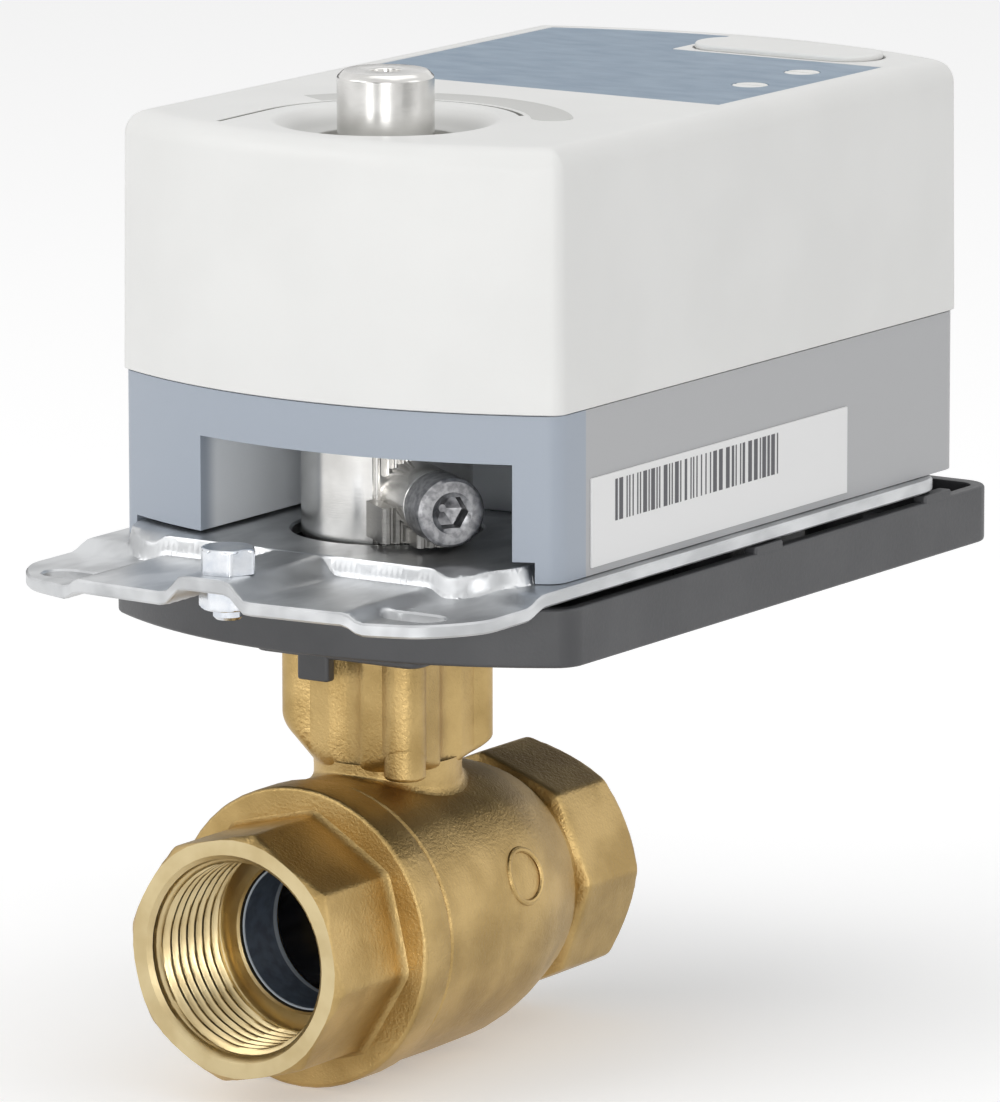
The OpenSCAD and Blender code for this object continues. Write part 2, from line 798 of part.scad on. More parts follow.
module bracket_plate() {
    color([0.72, 0.73, 0.74])
    at_case() difference() {
        union() {
            intersection() {
                translate([0, -emboss_front + sheet_t, -face_gap]) rotate([90, 0, 0])
                    linear_extrude(bracket_front) polygon(bracket_section());
                translate([0, 0, -bracket_half]) linear_extrude(2 * bracket_half) bracket_plan();
            }
            for (x = [-1, 1])
                hull() {
                    translate([x * (bracket_half + ear_start + ear_ramp) / 2, -emboss_front,
                        sheet_z - ear_drop + sheet_t / 2])
                        cube([bracket_half - ear_start - ear_ramp, sheet_t / 10, sheet_t], center = true);
                    translate([x * (bracket_half + ear_start + ear_ramp) / 2, 3 * sheet_t - emboss_front,
                        sheet_z + sheet_t / 2])
                        cube([bracket_half - ear_start - ear_ramp, sheet_t / 10, sheet_t], center = true);
                }
            intersection() {
                translate([-bracket_half, -emboss_front + sheet_t / 2, sheet_z])
                    cube([2 * bracket_half, bracket_back + emboss_front, sheet_t]);
                translate([0, 0, -bracket_half]) linear_extrude(2 * bracket_half) bracket_plan();
            }
            emboss_block(0, sheet_z, sheet_z + emboss_rise + sheet_t);
        }
        emboss_block(sheet_t, sheet_z, sheet_z + emboss_rise);
        translate([0, 0, sheet_z - over]) linear_extrude(over + seat_gap) emboss_shape(sheet_t);
        translate([0, 0, -bracket_half]) cylinder(r = bracket_hole_r, h = 2 * bracket_half);
        for (x = [-1, 1])
            for (end = [-1, 1])
                translate([x * slot_spacing / 2 + end * (slot_l - slot_w) / 2, slot_y, -bracket_half])
                    cylinder(r = slot_w / 2, h = bracket_half + over);
        for (x = [-1, 1])
            translate([x * slot_spacing / 2 - (slot_l - slot_w) / 2, slot_y - slot_w / 2, -bracket_half])
                cube([slot_l - slot_w, slot_w, bracket_half + over]);
        translate([0, bolt_y, -bracket_half]) cylinder(r = bolt_r + face_gap, h = 2 * bracket_half);
        for (x = [-1, 1])
            for (y = mount_screw_ys)
                translate([x * mount_screw_x, y, -bracket_half])
                    cylinder(r = mount_screw_r + clear_gap, h = bracket_half + over);
    }
}

module bracket_bolt() {
    color([0.82, 0.84, 0.87])
    at_case() translate([0, bolt_y, 0]) {
        translate([0, 0, bridge_rise - face_gap + seat_gap]) rotate([0, 0, bolt_turn])
            cylinder(r = bolt_head_af / 2 / cos(30), h = bolt_head_h, $fn = 6);
        translate([0, 0, -bolt_end]) cylinder(r = bolt_r, h = bolt_end + bridge_rise);
    }
}

module bracket_nut() {
    color([0.85, 0.86, 0.88])
    at_case() translate([0, bolt_y, bridge_rise - face_gap - sheet_t - seat_gap - nut_h]) difference() {
        rotate([0, 0, 3 * bolt_turn]) cylinder(r = nut_af / 2 / cos(30), h = nut_h, $fn = 6);
        translate([0, 0, -over]) cylinder(r = bolt_r + seat_gap, h = nut_h + 2 * over);
    }
}

module mounting_screws() {
    color([0.75, 0.76, 0.78])
    at_case() for (x = [-1, 1])
        for (y = mount_screw_ys)
            translate([x * mount_screw_x, y, mount_screw_head_t - tray_drop + mount_screw_l + seat_gap])
                rotate([180, 0, 0])
                    slotted_screw(mount_screw_r, mount_screw_l, mount_screw_head_r, mount_screw_head_t);
}

// Output

module shaft_adapter() {
    color([0.62, 0.63, 0.65])
    difference() {
        at_stem(shaft_z) cylinder(r = shaft_r, h = stem_height + shaft_l_top - shaft_z);
        at_stem(shaft_z - over) translate([-stem_square / 2 - run_gap, -stem_square / 2 - run_gap, 0])
            cube([stem_square + 2 * run_gap, stem_square + 2 * run_gap, stem_square_l + over]);
    }
}

// Runs a shape drawn up the Z axis out from the stem along the clamp screw.
module along_screw(r) {
    at_case() translate([0, 0, screw_z]) rotate([0, 0, screw_turn]) translate([r, 0, 0])
        rotate([0, 90, 0]) children();
}

module output_hub() {
    color([0.8, 0.81, 0.82])
    difference() {
        union() {
            at_case() translate([0, 0, hub_bottom]) cylinder(r = collar_r, h = collar_top - hub_bottom);
            at_case() translate([0, 0, hub_bottom]) cylinder(r = hub_r, h = hub_step_z - hub_bottom);
            at_case() translate([0, 0, hub_bottom])
                cylinder(r = stub_r, h = hub_top - port_chamfer - hub_bottom);
            at_case() translate([0, 0, hub_top - port_chamfer])
                cylinder(r1 = stub_r, r2 = stub_r - port_chamfer, h = port_chamfer);
            along_screw(0) cylinder(r = clamp_boss_r, h = clamp_reach);
        }
        at_case() translate([0, 0, hub_bottom - over])
            cylinder(r = shaft_r + run_gap, h = shaft_l_top + clear_gap - hub_bottom + over);
        along_screw(0) cylinder(r = clamp_screw_r + seat_gap, h = clamp_reach + over);
        at_case() rotate([0, 0, screw_turn])
            translate([0, -jaw_w / 2 - face_gap, screw_z - jaw_h / 2 - face_gap])
            cube([jaw_r + face_gap, jaw_w + 2 * face_gap, jaw_h + 2 * face_gap]);
    }
}

module clamp_jaw() {
    color([0.55, 0.56, 0.58])
    difference() {
        at_case() rotate([0, 0, screw_turn]) translate([0, -jaw_w / 2, screw_z - jaw_h / 2])
            cube([jaw_r, jaw_w, jaw_h]);
        at_case() cylinder(r = shaft_r + run_gap, h = shaft_l_top);
    }
}

module clamp_screw() {
    color([0.6, 0.61, 0.63])
    along_screw(jaw_r + seat_gap)
        socket_screw(clamp_screw_r, clamp_reach - jaw_r, clamp_head_r, clamp_head_l, clamp_hex_r,
            clamp_hex_d);
}

module lower_bush() {
    color([0.8, 0.68, 0.42])
    at_case() translate([0, 0, window_h])
        tube(hub_r + bush_t, hub_r + run_gap, lower_plate_z + plate_t - window_h);
}

module upper_bush() {
    color([0.8, 0.68, 0.42])
    at_case() translate([0, 0, upper_bush_z]) tube(dish_hole_r - seat_gap, stub_r + run_gap, upper_bush_h);
}

// Outline of the output gear: its toothed sector, then the hub's arc from one end of it to the other.
function sector_points() = let (
    all = gear_points(output_module, output_teeth),
    per = len(all) / output_teeth,
    tooth_turn = 360 / output_teeth,
    arc_from = (sector_teeth[1] + 1) * tooth_turn,
    arc_turn = 360 + (sector_teeth[0] - 1) * tooth_turn - arc_from
) concat([
    for (t = [sector_teeth[0]:sector_teeth[1]]) for (k = [0:per - 1])
        all[((t + output_teeth) % output_teeth) * per + k]
], [
    for (k = [0:sector_arc_steps]) let (a = arc_from + arc_turn * k / sector_arc_steps)
        [sector_hub_r * cos(a), sector_hub_r * sin(a)]
]);

module output_gear() {
    color([0.7, 0.71, 0.73])
    at_case() translate([0, 0, gear_z]) difference() {
        linear_extrude(output_gear_t) polygon(sector_points());
        translate([0, 0, -over]) cylinder(r = hub_r + seat_gap, h = output_gear_t + 2 * over);
    }
}

module cam_disc() {
    color([0.9, 0.86, 0.7])
    at_case() translate([0, 0, cam_z]) difference() {
        union() {
            cylinder(r = cam_r, h = cam_t);
            for (turn = [0, 90])
                rotate([0, 0, turn]) intersection() {
                    cylinder(r = cam_lobe_r, h = cam_t);
                    translate([0, -cam_t, 0]) cube([2 * cam_lobe_r, 2 * cam_t, cam_t]);
                }
        }
        translate([0, 0, -over]) cylinder(r = hub_r + seat_gap, h = cam_t + 2 * over);
    }
}

// Case

// Posts at the four case screws; the front two may start higher by lift.
module corner_posts(r, h, lift = 0) {
    for (x = [-1, 1]) {
        translate([x * corner_front_x, corner_front_y, 0]) cylinder(r = r, h = h + lift);
        translate([x * corner_back_x, corner_back_y, 0]) cylinder(r = r, h = h);
    }
}

// Room round the clamp, open at the front and the bottom of the base.
module alcove_shape(grow) {
    intersection() {
        union() {
            circle(r = alcove_r + grow);
            translate([-window_left - grow, -case_front - case_bulge - over - grow])
                square([window_left + window_right + 2 * grow, case_front + case_bulge + over + grow]);
        }
        translate([-window_left - grow, -case_front - case_bulge - over - grow])
            square([window_left + window_right + 2 * grow, 2 * case_back]);
    }
}

module base_housing() {
    color([0.66, 0.7, 0.74])
    difference() {
        at_case() union() {
            difference() {
                linear_extrude(base_h) case_shape(0);
                translate([0, 0, floor_t]) linear_extrude(base_h) case_shape(case_wall);
            }
            intersection() {
                linear_extrude(deck_z) case_shape(0);
                linear_extrude(deck_z) alcove_shape(alcove_wall);
            }
            intersection() {
                corner_posts(corner_boss_r, base_h);
                linear_extrude(base_h) case_shape(0);
            }
            for (x = [-1, 1])
                for (y = mount_screw_ys)
                    translate([x * mount_screw_x, y, 0]) cylinder(r = mount_boss_r, h = mount_screw_l / 2);
            for (x = [-1, 1])
                for (y = pillar_ys)
                    translate([x * pillar_x, y, 0]) cylinder(r = pillar_r, h = lower_plate_z - seat_gap);
        }
        at_case() translate([0, 0, -over]) linear_extrude(window_h + over) alcove_shape(0);
        at_case() translate([0, 0, -over]) linear_extrude(emboss_rise + clear_gap + over)
            emboss_shape(-clear_gap);
        at_case() translate([0, 0, window_h - over])
            cylinder(r = hub_r + bush_t + seat_gap, h = 2 * deck_t + over);
        at_case() translate([0, 0, -over]) corner_posts(corner_screw_r + face_gap, base_h + 2 * over);
        at_case() translate([0, 0, -over])
            corner_posts(corner_head_r + face_gap, corner_head_t + face_gap + over, front_head_z);
        at_case() for (x = [-1, 1])
            for (y = mount_screw_ys)
                translate([x * mount_screw_x, y, -over])
                    cylinder(r = mount_screw_r + seat_gap, h = mount_screw_l);
        at_case() for (x = [-1, 1])
            for (y = pillar_ys)
                translate([x * pillar_x, y, lower_plate_z - pillar_r])
                    cylinder(r = plate_screw_r + seat_gap, h = 2 * pillar_r);
        at_case() translate([0, case_back + case_tail - case_wall - over, grommet_z]) rotate([-90, 0, 0])
            cylinder(r = grommet_neck_r + seat_gap, h = case_wall + 2 * over);
    }
}

// Outer skin of the cover, with a little draft and rounded top edges.
module cover_skin() {
    hull() {
        translate([0, 0, base_h + face_gap]) linear_extrude(face_gap) case_shape(-cover_flare);
        translate([0, 0, case_h - cover_edge_r]) linear_extrude(face_gap) case_shape(0);
        translate([0, 0, case_h - cover_edge_r * bulge_share]) linear_extrude(face_gap)
            case_shape(cover_edge_r * bulge_share);
        translate([0, 0, case_h - face_gap]) linear_extrude(face_gap) case_shape(cover_edge_r);
    }
}

module label_shape(inset) {
    polygon([
        [-label_half + inset, label_front + inset],
        [label_half - inset, label_front + inset],
        [label_half - inset, button_y[0] - 2 * clear_gap - inset],
        [button_x[0] - 3 * clear_gap - inset, button_y[0] - 2 * clear_gap - inset],
        for (i = [0:6])
            let (x0 = button_x[0] - 3 * clear_gap - inset, x = x0 - (x0 + label_half - inset) * i / 6)
            [x, case_rear_y + sqrt(pow(case_rear_r - label_edge - inset, 2) - x * x)]
    ]);
}

module cover() {
    color([0.93, 0.93, 0.92])
    difference() {
        at_case() union() {
            difference() {
                cover_skin();
                translate([0, 0, base_h - over]) linear_extrude(cover_h - top_t + over) case_shape(case_wall);
            }
            translate([0, 0, upper_bush_z]) cylinder(r = dish_boss_r, h = case_h - upper_bush_z - top_t / 2);
            intersection() {
                translate([0, 0, base_h + face_gap]) corner_posts(corner_boss_r, cover_h - top_t);
                cover_skin();
            }
        }
        at_case() translate([0, 0, base_h])
            corner_posts(corner_screw_r + seat_gap, corner_screw_l - base_h / 2);
        at_case() translate([0, 0, upper_bush_z - over]) cylinder(r = dish_hole_r, h = cover_h);
        at_case() translate([0, 0, case_h - dish_d])
            cylinder(r1 = dish_r - dish_d, r2 = dish_r + over, h = dish_d + over);
        at_case() translate([0, 0, case_h - label_dip]) linear_extrude(label_dip + over) label_shape(0);
        at_case() translate([0, 0, base_h]) linear_extrude(gasket_h + face_gap) difference() {
            case_shape(gasket_in - seat_gap);
            case_shape(gasket_in + gasket_w + seat_gap);
        }
        at_case() translate([button_x[0] - clear_gap, button_y[0] - clear_gap, case_h - button_travel])
            cube([button_x[1] - button_x[0] + 2 * clear_gap, button_y[1] - button_y[0] + 2 * clear_gap,
                button_travel + over]);
        at_case() translate([button_stem_x[0] - clear_gap / 2, button_y[0], top_in - over])
            cube([button_stem_x[1] - button_stem_x[0] + clear_gap, button_y[1] - button_y[0], top_t + over]);
        at_case() for (p = dial_ats)
            translate([p[0], p[1], top_in - over]) cylinder(r = dial_r + run_gap, h = top_t + 2 * over);
        at_case() translate([0, 0, case_h - scale_t]) linear_extrude(scale_t + over) scale_shape(-run_gap);
    }
}

module cover_seal() {
    color([0.2, 0.2, 0.21])
    at_case() translate([0, 0, base_h]) linear_extrude(gasket_h) difference() {
        case_shape(gasket_in);
        case_shape(gasket_in + gasket_w);
    }
}

module cover_screws() {
    color([0.75, 0.76, 0.78])
    at_case() for (x = [-1, 1])
        for (at = [[corner_front_x, corner_front_y, front_head_z], [corner_back_x, corner_back_y, 0]])
            translate([x * at[0], at[1], at[2] + corner_head_t + corner_screw_l])
                rotate([180, 0, 0])
                    slotted_screw(corner_screw_r, corner_screw_l, corner_head_r, corner_head_t - seat_gap);
}

// Graduated arc beside the hub, with a round end.
module scale_shape(inset) {
    r = (scale_out_r - scale_in_r) / 2 - inset;
    mid = (scale_out_r + scale_in_r) / 2;
    polygon(concat(
        arc([0, 0], mid + r, scale_from, scale_to, 20),
        arc([0, 0], mid - r, scale_to, scale_from, 20),
        arc([mid * cos(scale_from), mid * sin(scale_from)], r, scale_from + 180, scale_from + 360, 8)
    ));
}

module scale_ring() {
    color([0.88, 0.88, 0.87])
    at_case() translate([0, 0, case_h - scale_t]) linear_extrude(scale_t) scale_shape(0);
}

module top_label() {
    color([0.56, 0.63, 0.7])
    at_case() translate([0, 0, case_h - label_dip]) difference() {
        linear_extrude(label_t) label_shape(face_gap);
        for (p = dial_ats)
            translate([p[0], p[1], -over]) cylinder(r = dial_r + clear_gap, h = label_t + 2 * over);
    }
}

module side_label() {
    color([0.94, 0.94, 0.94])
    at_case() translate([case_half, side_label_y[0], side_label_z[0]])
        cube([side_label_t, side_label_y[1] - side_label_y[0], side_label_z[1] - side_label_z[0]]);
}

module cable_grommet() {
    color([0.15, 0.15, 0.16])
    at_case() translate([0, case_back + case_tail, grommet_z]) rotate([-90, 0, 0]) difference() {
        union() {
            cylinder(r1 = grommet_flange_r, r2 = grommet_neck_r, h = grommet_neck_r);
            translate([0, 0, -case_wall - grommet_sag]) cylinder(r = grommet_neck_r, h = case_wall + over);
            translate([0, 0, -case_wall - grommet_sag - over]) cylinder(r = grommet_flange_r, h = over);
        }
        translate([0, 0, -case_back]) cylinder(r = cable_r, h = 2 * case_back);
    }
}

// Gear train

module plate_shape() {
    difference() {
        translate([-plate_half, -plate_front]) square([2 * plate_half, plate_back + plate_front]);
        circle(r = hub_r + bush_t + seat_gap);
        for (x = [-1, 1])
            translate([x * corner_front_x, corner_front_y]) circle(r = corner_boss_r + clear_gap);
        for (x = [-1, 1])
            for (y = pillar_ys)
                translate([x * pillar_x, y]) circle(r = plate_screw_r + face_gap);
    }
}

module lower_gear_plate() {
    color([0.75, 0.76, 0.77])
    at_case() translate([0, 0, lower_plate_z]) linear_extrude(plate_t) difference() {
        plate_shape();
        for (p = [first_at, second_at, third_at])
            translate(p) circle(r = axle_r + seat_gap);
        translate(motor_at) circle(r = rotor_shaft_r + 4 * clear_gap);
        for (side = [-1, 1])
            translate([motor_at[0] + side * motor_screw_at, motor_at[1]])
                circle(r = motor_screw_r + seat_gap);
    }
}

module upper_gear_plate() {
    color([0.75, 0.76, 0.77])
    at_case() translate([0, 0, upper_plate_z]) linear_extrude(plate_t) difference() {
        plate_shape();
        for (p = [first_at, second_at, third_at])
            translate(p) circle(r = axle_r + seat_gap);
        translate(motor_at) circle(r = rotor_shaft_r + run_gap);
    }
}

module plate_pillars() {
    color([0.7, 0.7, 0.72])
    at_case() for (x = [-1, 1])
        for (y = pillar_ys)
            translate([x * pillar_x, y, lower_plate_z + plate_t + seat_gap])
                tube(pillar_r, plate_screw_r + face_gap, upper_plate_z - lower_plate_z - plate_t - 2 * seat_gap);
}

module plate_screws() {
    color([0.8, 0.8, 0.82])
    at_case() for (x = [-1, 1])
        for (y = pillar_ys)
            translate([x * pillar_x, y, lower_plate_z - pillar_r + face_gap])
                slotted_screw(plate_screw_r, upper_plate_z + plate_t + seat_gap - lower_plate_z + pillar_r - face_gap,
                    plate_screw_head_r, plate_screw_head_t);
}

module gear_axles() {
    color([0.82, 0.82, 0.84])
    at_case() for (p = [first_at, second_at, third_at])
        translate([p[0], p[1], lower_plate_z])
            cylinder(r = axle_r, h = upper_plate_z + plate_t - lower_plate_z);
}

// A pinion under a wheel on one bore; the pinion meets the level before it.
module compound_gear(p, z, pinion_m, pinion_z, pinion_from, wheel_m, wheel_z, turns) {
    at_case() translate([p[0], p[1], 0]) difference() {
        union() {
            translate([0, 0, pinion_from]) gear(pinion_m, pinion_z, z - pinion_from, turns[0]);
            translate([0, 0, z]) gear(wheel_m, wheel_z, wheel_t, turns[1]);
        }
        translate([0, 0, -over]) cylinder(r = axle_r + run_gap, h = case_h);
    }
}

module first_gear() {
    color([0.92, 0.9, 0.84])
    compound_gear(first_at, second_z, output_module, first_pinion_teeth, gear_z,
        first_module, wheel_teeth, [first_turn + 180 + 180 / first_pinion_teeth, second_turn]);
}

module second_gear() {
    color([0.85, 0.88, 0.92])
    compound_gear(second_at, third_z, first_module, pinion_teeth, second_z,
        fine_module, wheel_teeth, [second_turn + 180 + 180 / pinion_teeth, third_turn]);
}

module third_gear() {
    color([0.92, 0.9, 0.84])
    compound_gear(third_at, fourth_z, fine_module, pinion_teeth, third_z,
        fine_module, third_wheel_teeth, [third_turn + 180 + 180 / pinion_teeth, motor_turn]);
}

module motor_can() {
    color([0.6, 0.61, 0.63])
    at_case() translate([motor_at[0], motor_at[1], motor_z]) difference() {
        cylinder(r = motor_r, h = motor_top - motor_z - plate_t - seat_gap);
        translate([0, 0, motor_wall]) cylinder(r = motor_r - motor_wall, h = motor_top);
    }
}

module motor_lid() {
    color([0.66, 0.67, 0.69])
    at_case() translate([motor_at[0], motor_at[1], motor_top - plate_t]) difference() {
        union() {
            cylinder(r = motor_r, h = plate_t);
            for (side = [-1, 1])
                translate([side * motor_screw_at, 0, 0]) cylinder(r = motor_ear_r, h = plate_t);
        }
        translate([0, 0, -over]) cylinder(r = rotor_shaft_r + run_gap, h = plate_t + 2 * over);
        for (side = [-1, 1])
            translate([side * motor_screw_at, 0, -over])
                cylinder(r = motor_screw_r + face_gap, h = plate_t + 2 * over);
    }
}

module motor_coil() {
    color([0.72, 0.42, 0.22])
    at_case() translate([motor_at[0], motor_at[1], motor_z + motor_wall + seat_gap])
        tube(motor_r - motor_wall - seat_gap, coil_in_r, 2 * (motor_top - motor_z) / 3);
}

module motor_rotor() {
    color([0.35, 0.35, 0.37])
    at_case() translate([motor_at[0], motor_at[1], 0]) {
        translate([0, 0, motor_z + motor_wall + clear_gap])
            cylinder(r = rotor_r, h = 2 * (motor_top - motor_z) / 3);
        translate([0, 0, motor_z + motor_wall + clear_gap])
            cylinder(r = rotor_shaft_r, h = upper_plate_z + plate_t - motor_z - motor_wall - clear_gap);
    }
}

module motor_pinion() {
    color([0.8, 0.68, 0.42])
    at_case() translate([motor_at[0], motor_at[1], fourth_z - level_gap / 2]) difference() {
        gear(fine_module, pinion_teeth, wheel_t + level_gap, motor_turn + 180 + 180 / pinion_teeth);
        translate([0, 0, -over]) cylinder(r = rotor_shaft_r + seat_gap, h = wheel_t + level_gap + 2 * over);
    }
}

module motor_screws() {
    color([0.8, 0.8, 0.82])
    at_case() for (side = [-1, 1])
        translate([motor_at[0] + side * motor_screw_at, motor_at[1], motor_top - plate_t + seat_gap])
            slotted_screw(motor_screw_r, 2 * plate_t + face_gap, 2 * motor_screw_r, motor_screw_r);
}

module limit_switches() {
    color([0.16, 0.17, 0.19])
    at_case() for (side = [0, 180])
        rotate([0, 0, side]) {
            translate([switch_x + 2 * plunger_r, -switch_w / 2, upper_plate_z + plate_t + seat_gap])
                cube([switch_l, switch_w, switch_h]);
            translate([switch_x, 0, cam_z + cam_t / 2]) rotate([0, 90, 0])
                cylinder(r = plunger_r, h = 3 * plunger_r);
        }
}

module circuit_board() {
    color([0.13, 0.42, 0.24])
    at_case() translate([0, 0, board_z]) linear_extrude(board_t) difference() {
        translate([-board_half, board_front]) square([2 * board_half, board_back - board_front]);
        for (x = [-1, 1])
            for (y = spacer_ys)
                translate([x * spacer_x, y]) circle(r = plate_screw_r + face_gap);
    }
}

module board_spacers() {
    color([0.8, 0.8, 0.78])
    at_case() for (x = [-1, 1])
        for (y = spacer_ys)
            translate([x * spacer_x, y, upper_plate_z + plate_t + seat_gap])
                tube(spacer_r, plate_screw_r + face_gap, board_z - upper_plate_z - plate_t - 2 * seat_gap);
}

module board_screws() {
    color([0.8, 0.8, 0.82])
    at_case() for (x = [-1, 1])
        for (y = spacer_ys)
            translate([x * spacer_x, y, board_z + seat_gap - board_t])
                slotted_screw(plate_screw_r, 2 * board_t, plate_screw_head_r, board_screw_head_t);
}

module board_parts() {
    color([0.2, 0.2, 0.24])
    at_case() translate([0, 0, board_z + board_t + seat_gap]) {
        translate([-spacer_x + 2 * spacer_r, board_front + 3 * spacer_r, 0])
            cube([4 * spacer_r, 5 * spacer_r, spacer_r]);
        translate([0, board_front + 6 * spacer_r, 0]) cylinder(r = 3 * spacer_r, h = 4 * spacer_r);
        translate([-3 * spacer_x / 5, board_front + 15 * spacer_r, 0])
            cube([6 * spacer_r, 4 * spacer_r, 3 * spacer_r]);
        translate([0, board_front + 13 * spacer_r, 0]) cylinder(r = 2 * spacer_r, h = 3 * spacer_r);
    }
}

module terminal_block() {
    color([0.25, 0.5, 0.3])
    at_case() translate([-board_half + 2 * spacer_r, board_back - 5 * spacer_r,
        board_z + board_t + seat_gap]) difference() {
        cube([12 * spacer_r, 4 * spacer_r, 3 * spacer_r]);
        for (i = [0:4])
            translate([(2.4 * i + 1.2) * spacer_r, 2 * spacer_r, 2 * spacer_r])
                cylinder(r = 0.7 * spacer_r, h = 2 * spacer_r);
    }
}

module switch_dial(p) {
    at_case() translate([p[0], p[1], 0]) difference() {
        union() {
            translate([0, 0, top_in]) cylinder(r = dial_r, h = top_t - label_dip + label_t);
            translate([0, 0, dial_z + clear_gap]) cylinder(r = dial_shaft_r, h = top_in - dial_z);
        }
        translate([-dial_r - over, -label_t / 2, case_h - 2 * label_dip])
            cube([2 * (dial_r + over), label_t, 2 * over]);
    }
}

module front_switch_dial() {
    color([0.94, 0.94, 0.93]) switch_dial(dial_ats[0]);
}

module back_switch_dial() {
    color([0.94, 0.94, 0.93]) switch_dial(dial_ats[1]);
}

module dial_trimmers() {
    color([0.2, 0.3, 0.55])
    at_case() for (p = dial_ats)
        translate([p[0], p[1], board_z + board_t + seat_gap + trimmer_h / 2])
            cube([trimmer_w, trimmer_w, trimmer_h], center = true);
}

module release_button() {
    color([0.95, 0.95, 0.94])
    at_case() {
        hull()
            for (x = [button_x[0] + (button_y[1] - button_y[0]) / 2,
                button_x[1] - (button_y[1] - button_y[0]) / 2])
                translate([x, (button_y[0] + button_y[1]) / 2, case_h + button_rise[0]])
                    cylinder(r = (button_y[1] - button_y[0]) / 2, h = button_rise[1] - button_rise[0],
                        $fn = 32);
        translate([button_stem_x[0], button_y[0] + clear_gap / 2, case_h + button_rise[0] - button_stem_l])
            cube([button_stem_x[1] - button_stem_x[0], button_y[1] - button_y[0] - clear_gap,
                button_stem_l + face_gap]);
    }
}

// Points of one ring of the spring's wire at a share of its length.
function spring_ring(turn, z) = [
    for (i = [0:5]) let (r = spring_r + spring_wire_r * cos(60 * i))
        [r * cos(turn), r * sin(turn), z + spring_wire_r * sin(60 * i)]
];
spring_rings = 10 * spring_turns;
spring_top = button_rise[0] - button_stem_l + case_h - spring_wire_r - face_gap;
spring_points = [
    for (i = [0:spring_rings])
        each spring_ring(i * 360 / 10, spring_top - spring_l + spring_l * i / spring_rings)
];

module release_spring() {
    color([0.7, 0.7, 0.72])
    at_case() translate([spring_at[0], spring_at[1], 0])
        polyhedron(
            points = spring_points,
            faces = concat(
                [[for (i = [0:5]) i]],
                [for (k = [0:spring_rings - 1]) for (i = [0:5])
                    [6 * k + i, 6 * k + 6 + i, 6 * k + 6 + (i + 1) % 6]],
                [for (k = [0:spring_rings - 1]) for (i = [0:5])
                    [6 * k + i, 6 * k + 6 + (i + 1) % 6, 6 * k + (i + 1) % 6]],
                [[for (i = [5:-1:0]) 6 * spring_rings + i]]
            )
        );
}

module release_post() {
    color([0.62, 0.66, 0.7])
    at_case() translate([spring_at[0], spring_at[1], floor_t])
        cylinder(r = post_r, h = spring_top - spring_l - spring_wire_r - face_gap - floor_t);
}

valve_body();
end_cap();
body_seal();
ball();
inlet_seat();
outlet_seat();
stem();
stem_seals();
thrust_washer();
packing();
gland_nut();
mounting_tray();
tray_screws();
bracket_plate();
bracket_bolt();
bracket_nut();
mounting_screws();
shaft_adapter();
output_hub();
clamp_jaw();
clamp_screw();
lower_bush();
upper_bush();
output_gear();
cam_disc();
base_housing();
cover();
cover_seal();
cover_screws();
lower_gear_plate();
upper_gear_plate();
plate_pillars();
plate_screws();
gear_axles();
first_gear();
second_gear();
third_gear();
motor_can();
motor_lid();
motor_coil();
motor_rotor();
motor_pinion();
motor_screws();
limit_switches();
circuit_board();
board_spacers();
board_screws();
board_parts();
terminal_block();
front_switch_dial();
back_switch_dial();
dial_trimmers();
release_button();
release_spring();
release_post();
top_label();
side_label();
scale_ring();
cable_grommet();
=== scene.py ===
import random
from math import atan2, ceil, cos, degrees, hypot, pi, radians, sin, sqrt

import bmesh
import bpy
from mathutils import Matrix, Vector, geometry


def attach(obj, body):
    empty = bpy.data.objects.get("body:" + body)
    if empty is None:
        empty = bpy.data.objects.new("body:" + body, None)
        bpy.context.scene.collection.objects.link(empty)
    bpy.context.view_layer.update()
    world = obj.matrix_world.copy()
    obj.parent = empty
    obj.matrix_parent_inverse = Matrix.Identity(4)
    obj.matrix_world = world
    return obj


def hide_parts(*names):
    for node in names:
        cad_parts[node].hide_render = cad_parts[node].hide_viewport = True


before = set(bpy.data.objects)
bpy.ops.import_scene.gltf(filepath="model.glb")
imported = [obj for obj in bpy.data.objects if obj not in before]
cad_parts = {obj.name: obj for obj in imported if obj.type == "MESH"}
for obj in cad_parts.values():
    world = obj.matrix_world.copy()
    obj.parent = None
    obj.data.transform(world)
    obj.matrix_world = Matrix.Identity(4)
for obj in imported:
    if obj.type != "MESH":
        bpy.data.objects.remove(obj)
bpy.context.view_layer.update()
scene = bpy.context.scene


# Camera: the photographer stood in front of the inlet, to its right and a little above it, with a
# long lens. Lengths are millimetres in the case frame, whose origin is on the stem at the case floor.
MM = 0.001
CASE = Vector((0, 36.25, 49))
YAW, PITCH, ROLL = radians(33.029), radians(10.82), radians(-0.066)
CAMERA_AWAY = 1316.145
AIM_SIDE, AIM_UP = 14.844, -0.932
LONG_SIDE_PX, FOCAL_PX = 1102, 10000

level = Vector((cos(YAW), sin(YAW), 0))
back = Vector((sin(YAW) * cos(PITCH), -cos(YAW) * cos(PITCH), sin(PITCH)))
rise = back.cross(level)
side = level * cos(ROLL) + rise * sin(ROLL)
head = rise * cos(ROLL) - level * sin(ROLL)
eye = (CASE + level * AIM_SIDE + Vector((0, 0, AIM_UP)) + back * CAMERA_AWAY) * MM
lens = bpy.data.cameras.new("camera")
lens.sensor_width = 36
lens.lens = FOCAL_PX * lens.sensor_width / LONG_SIDE_PX
lens.clip_start, lens.clip_end = 0.05, 20


def placed(name, data):
    made = bpy.data.objects.new(name, data)
    scene.collection.objects.link(made)
    return made


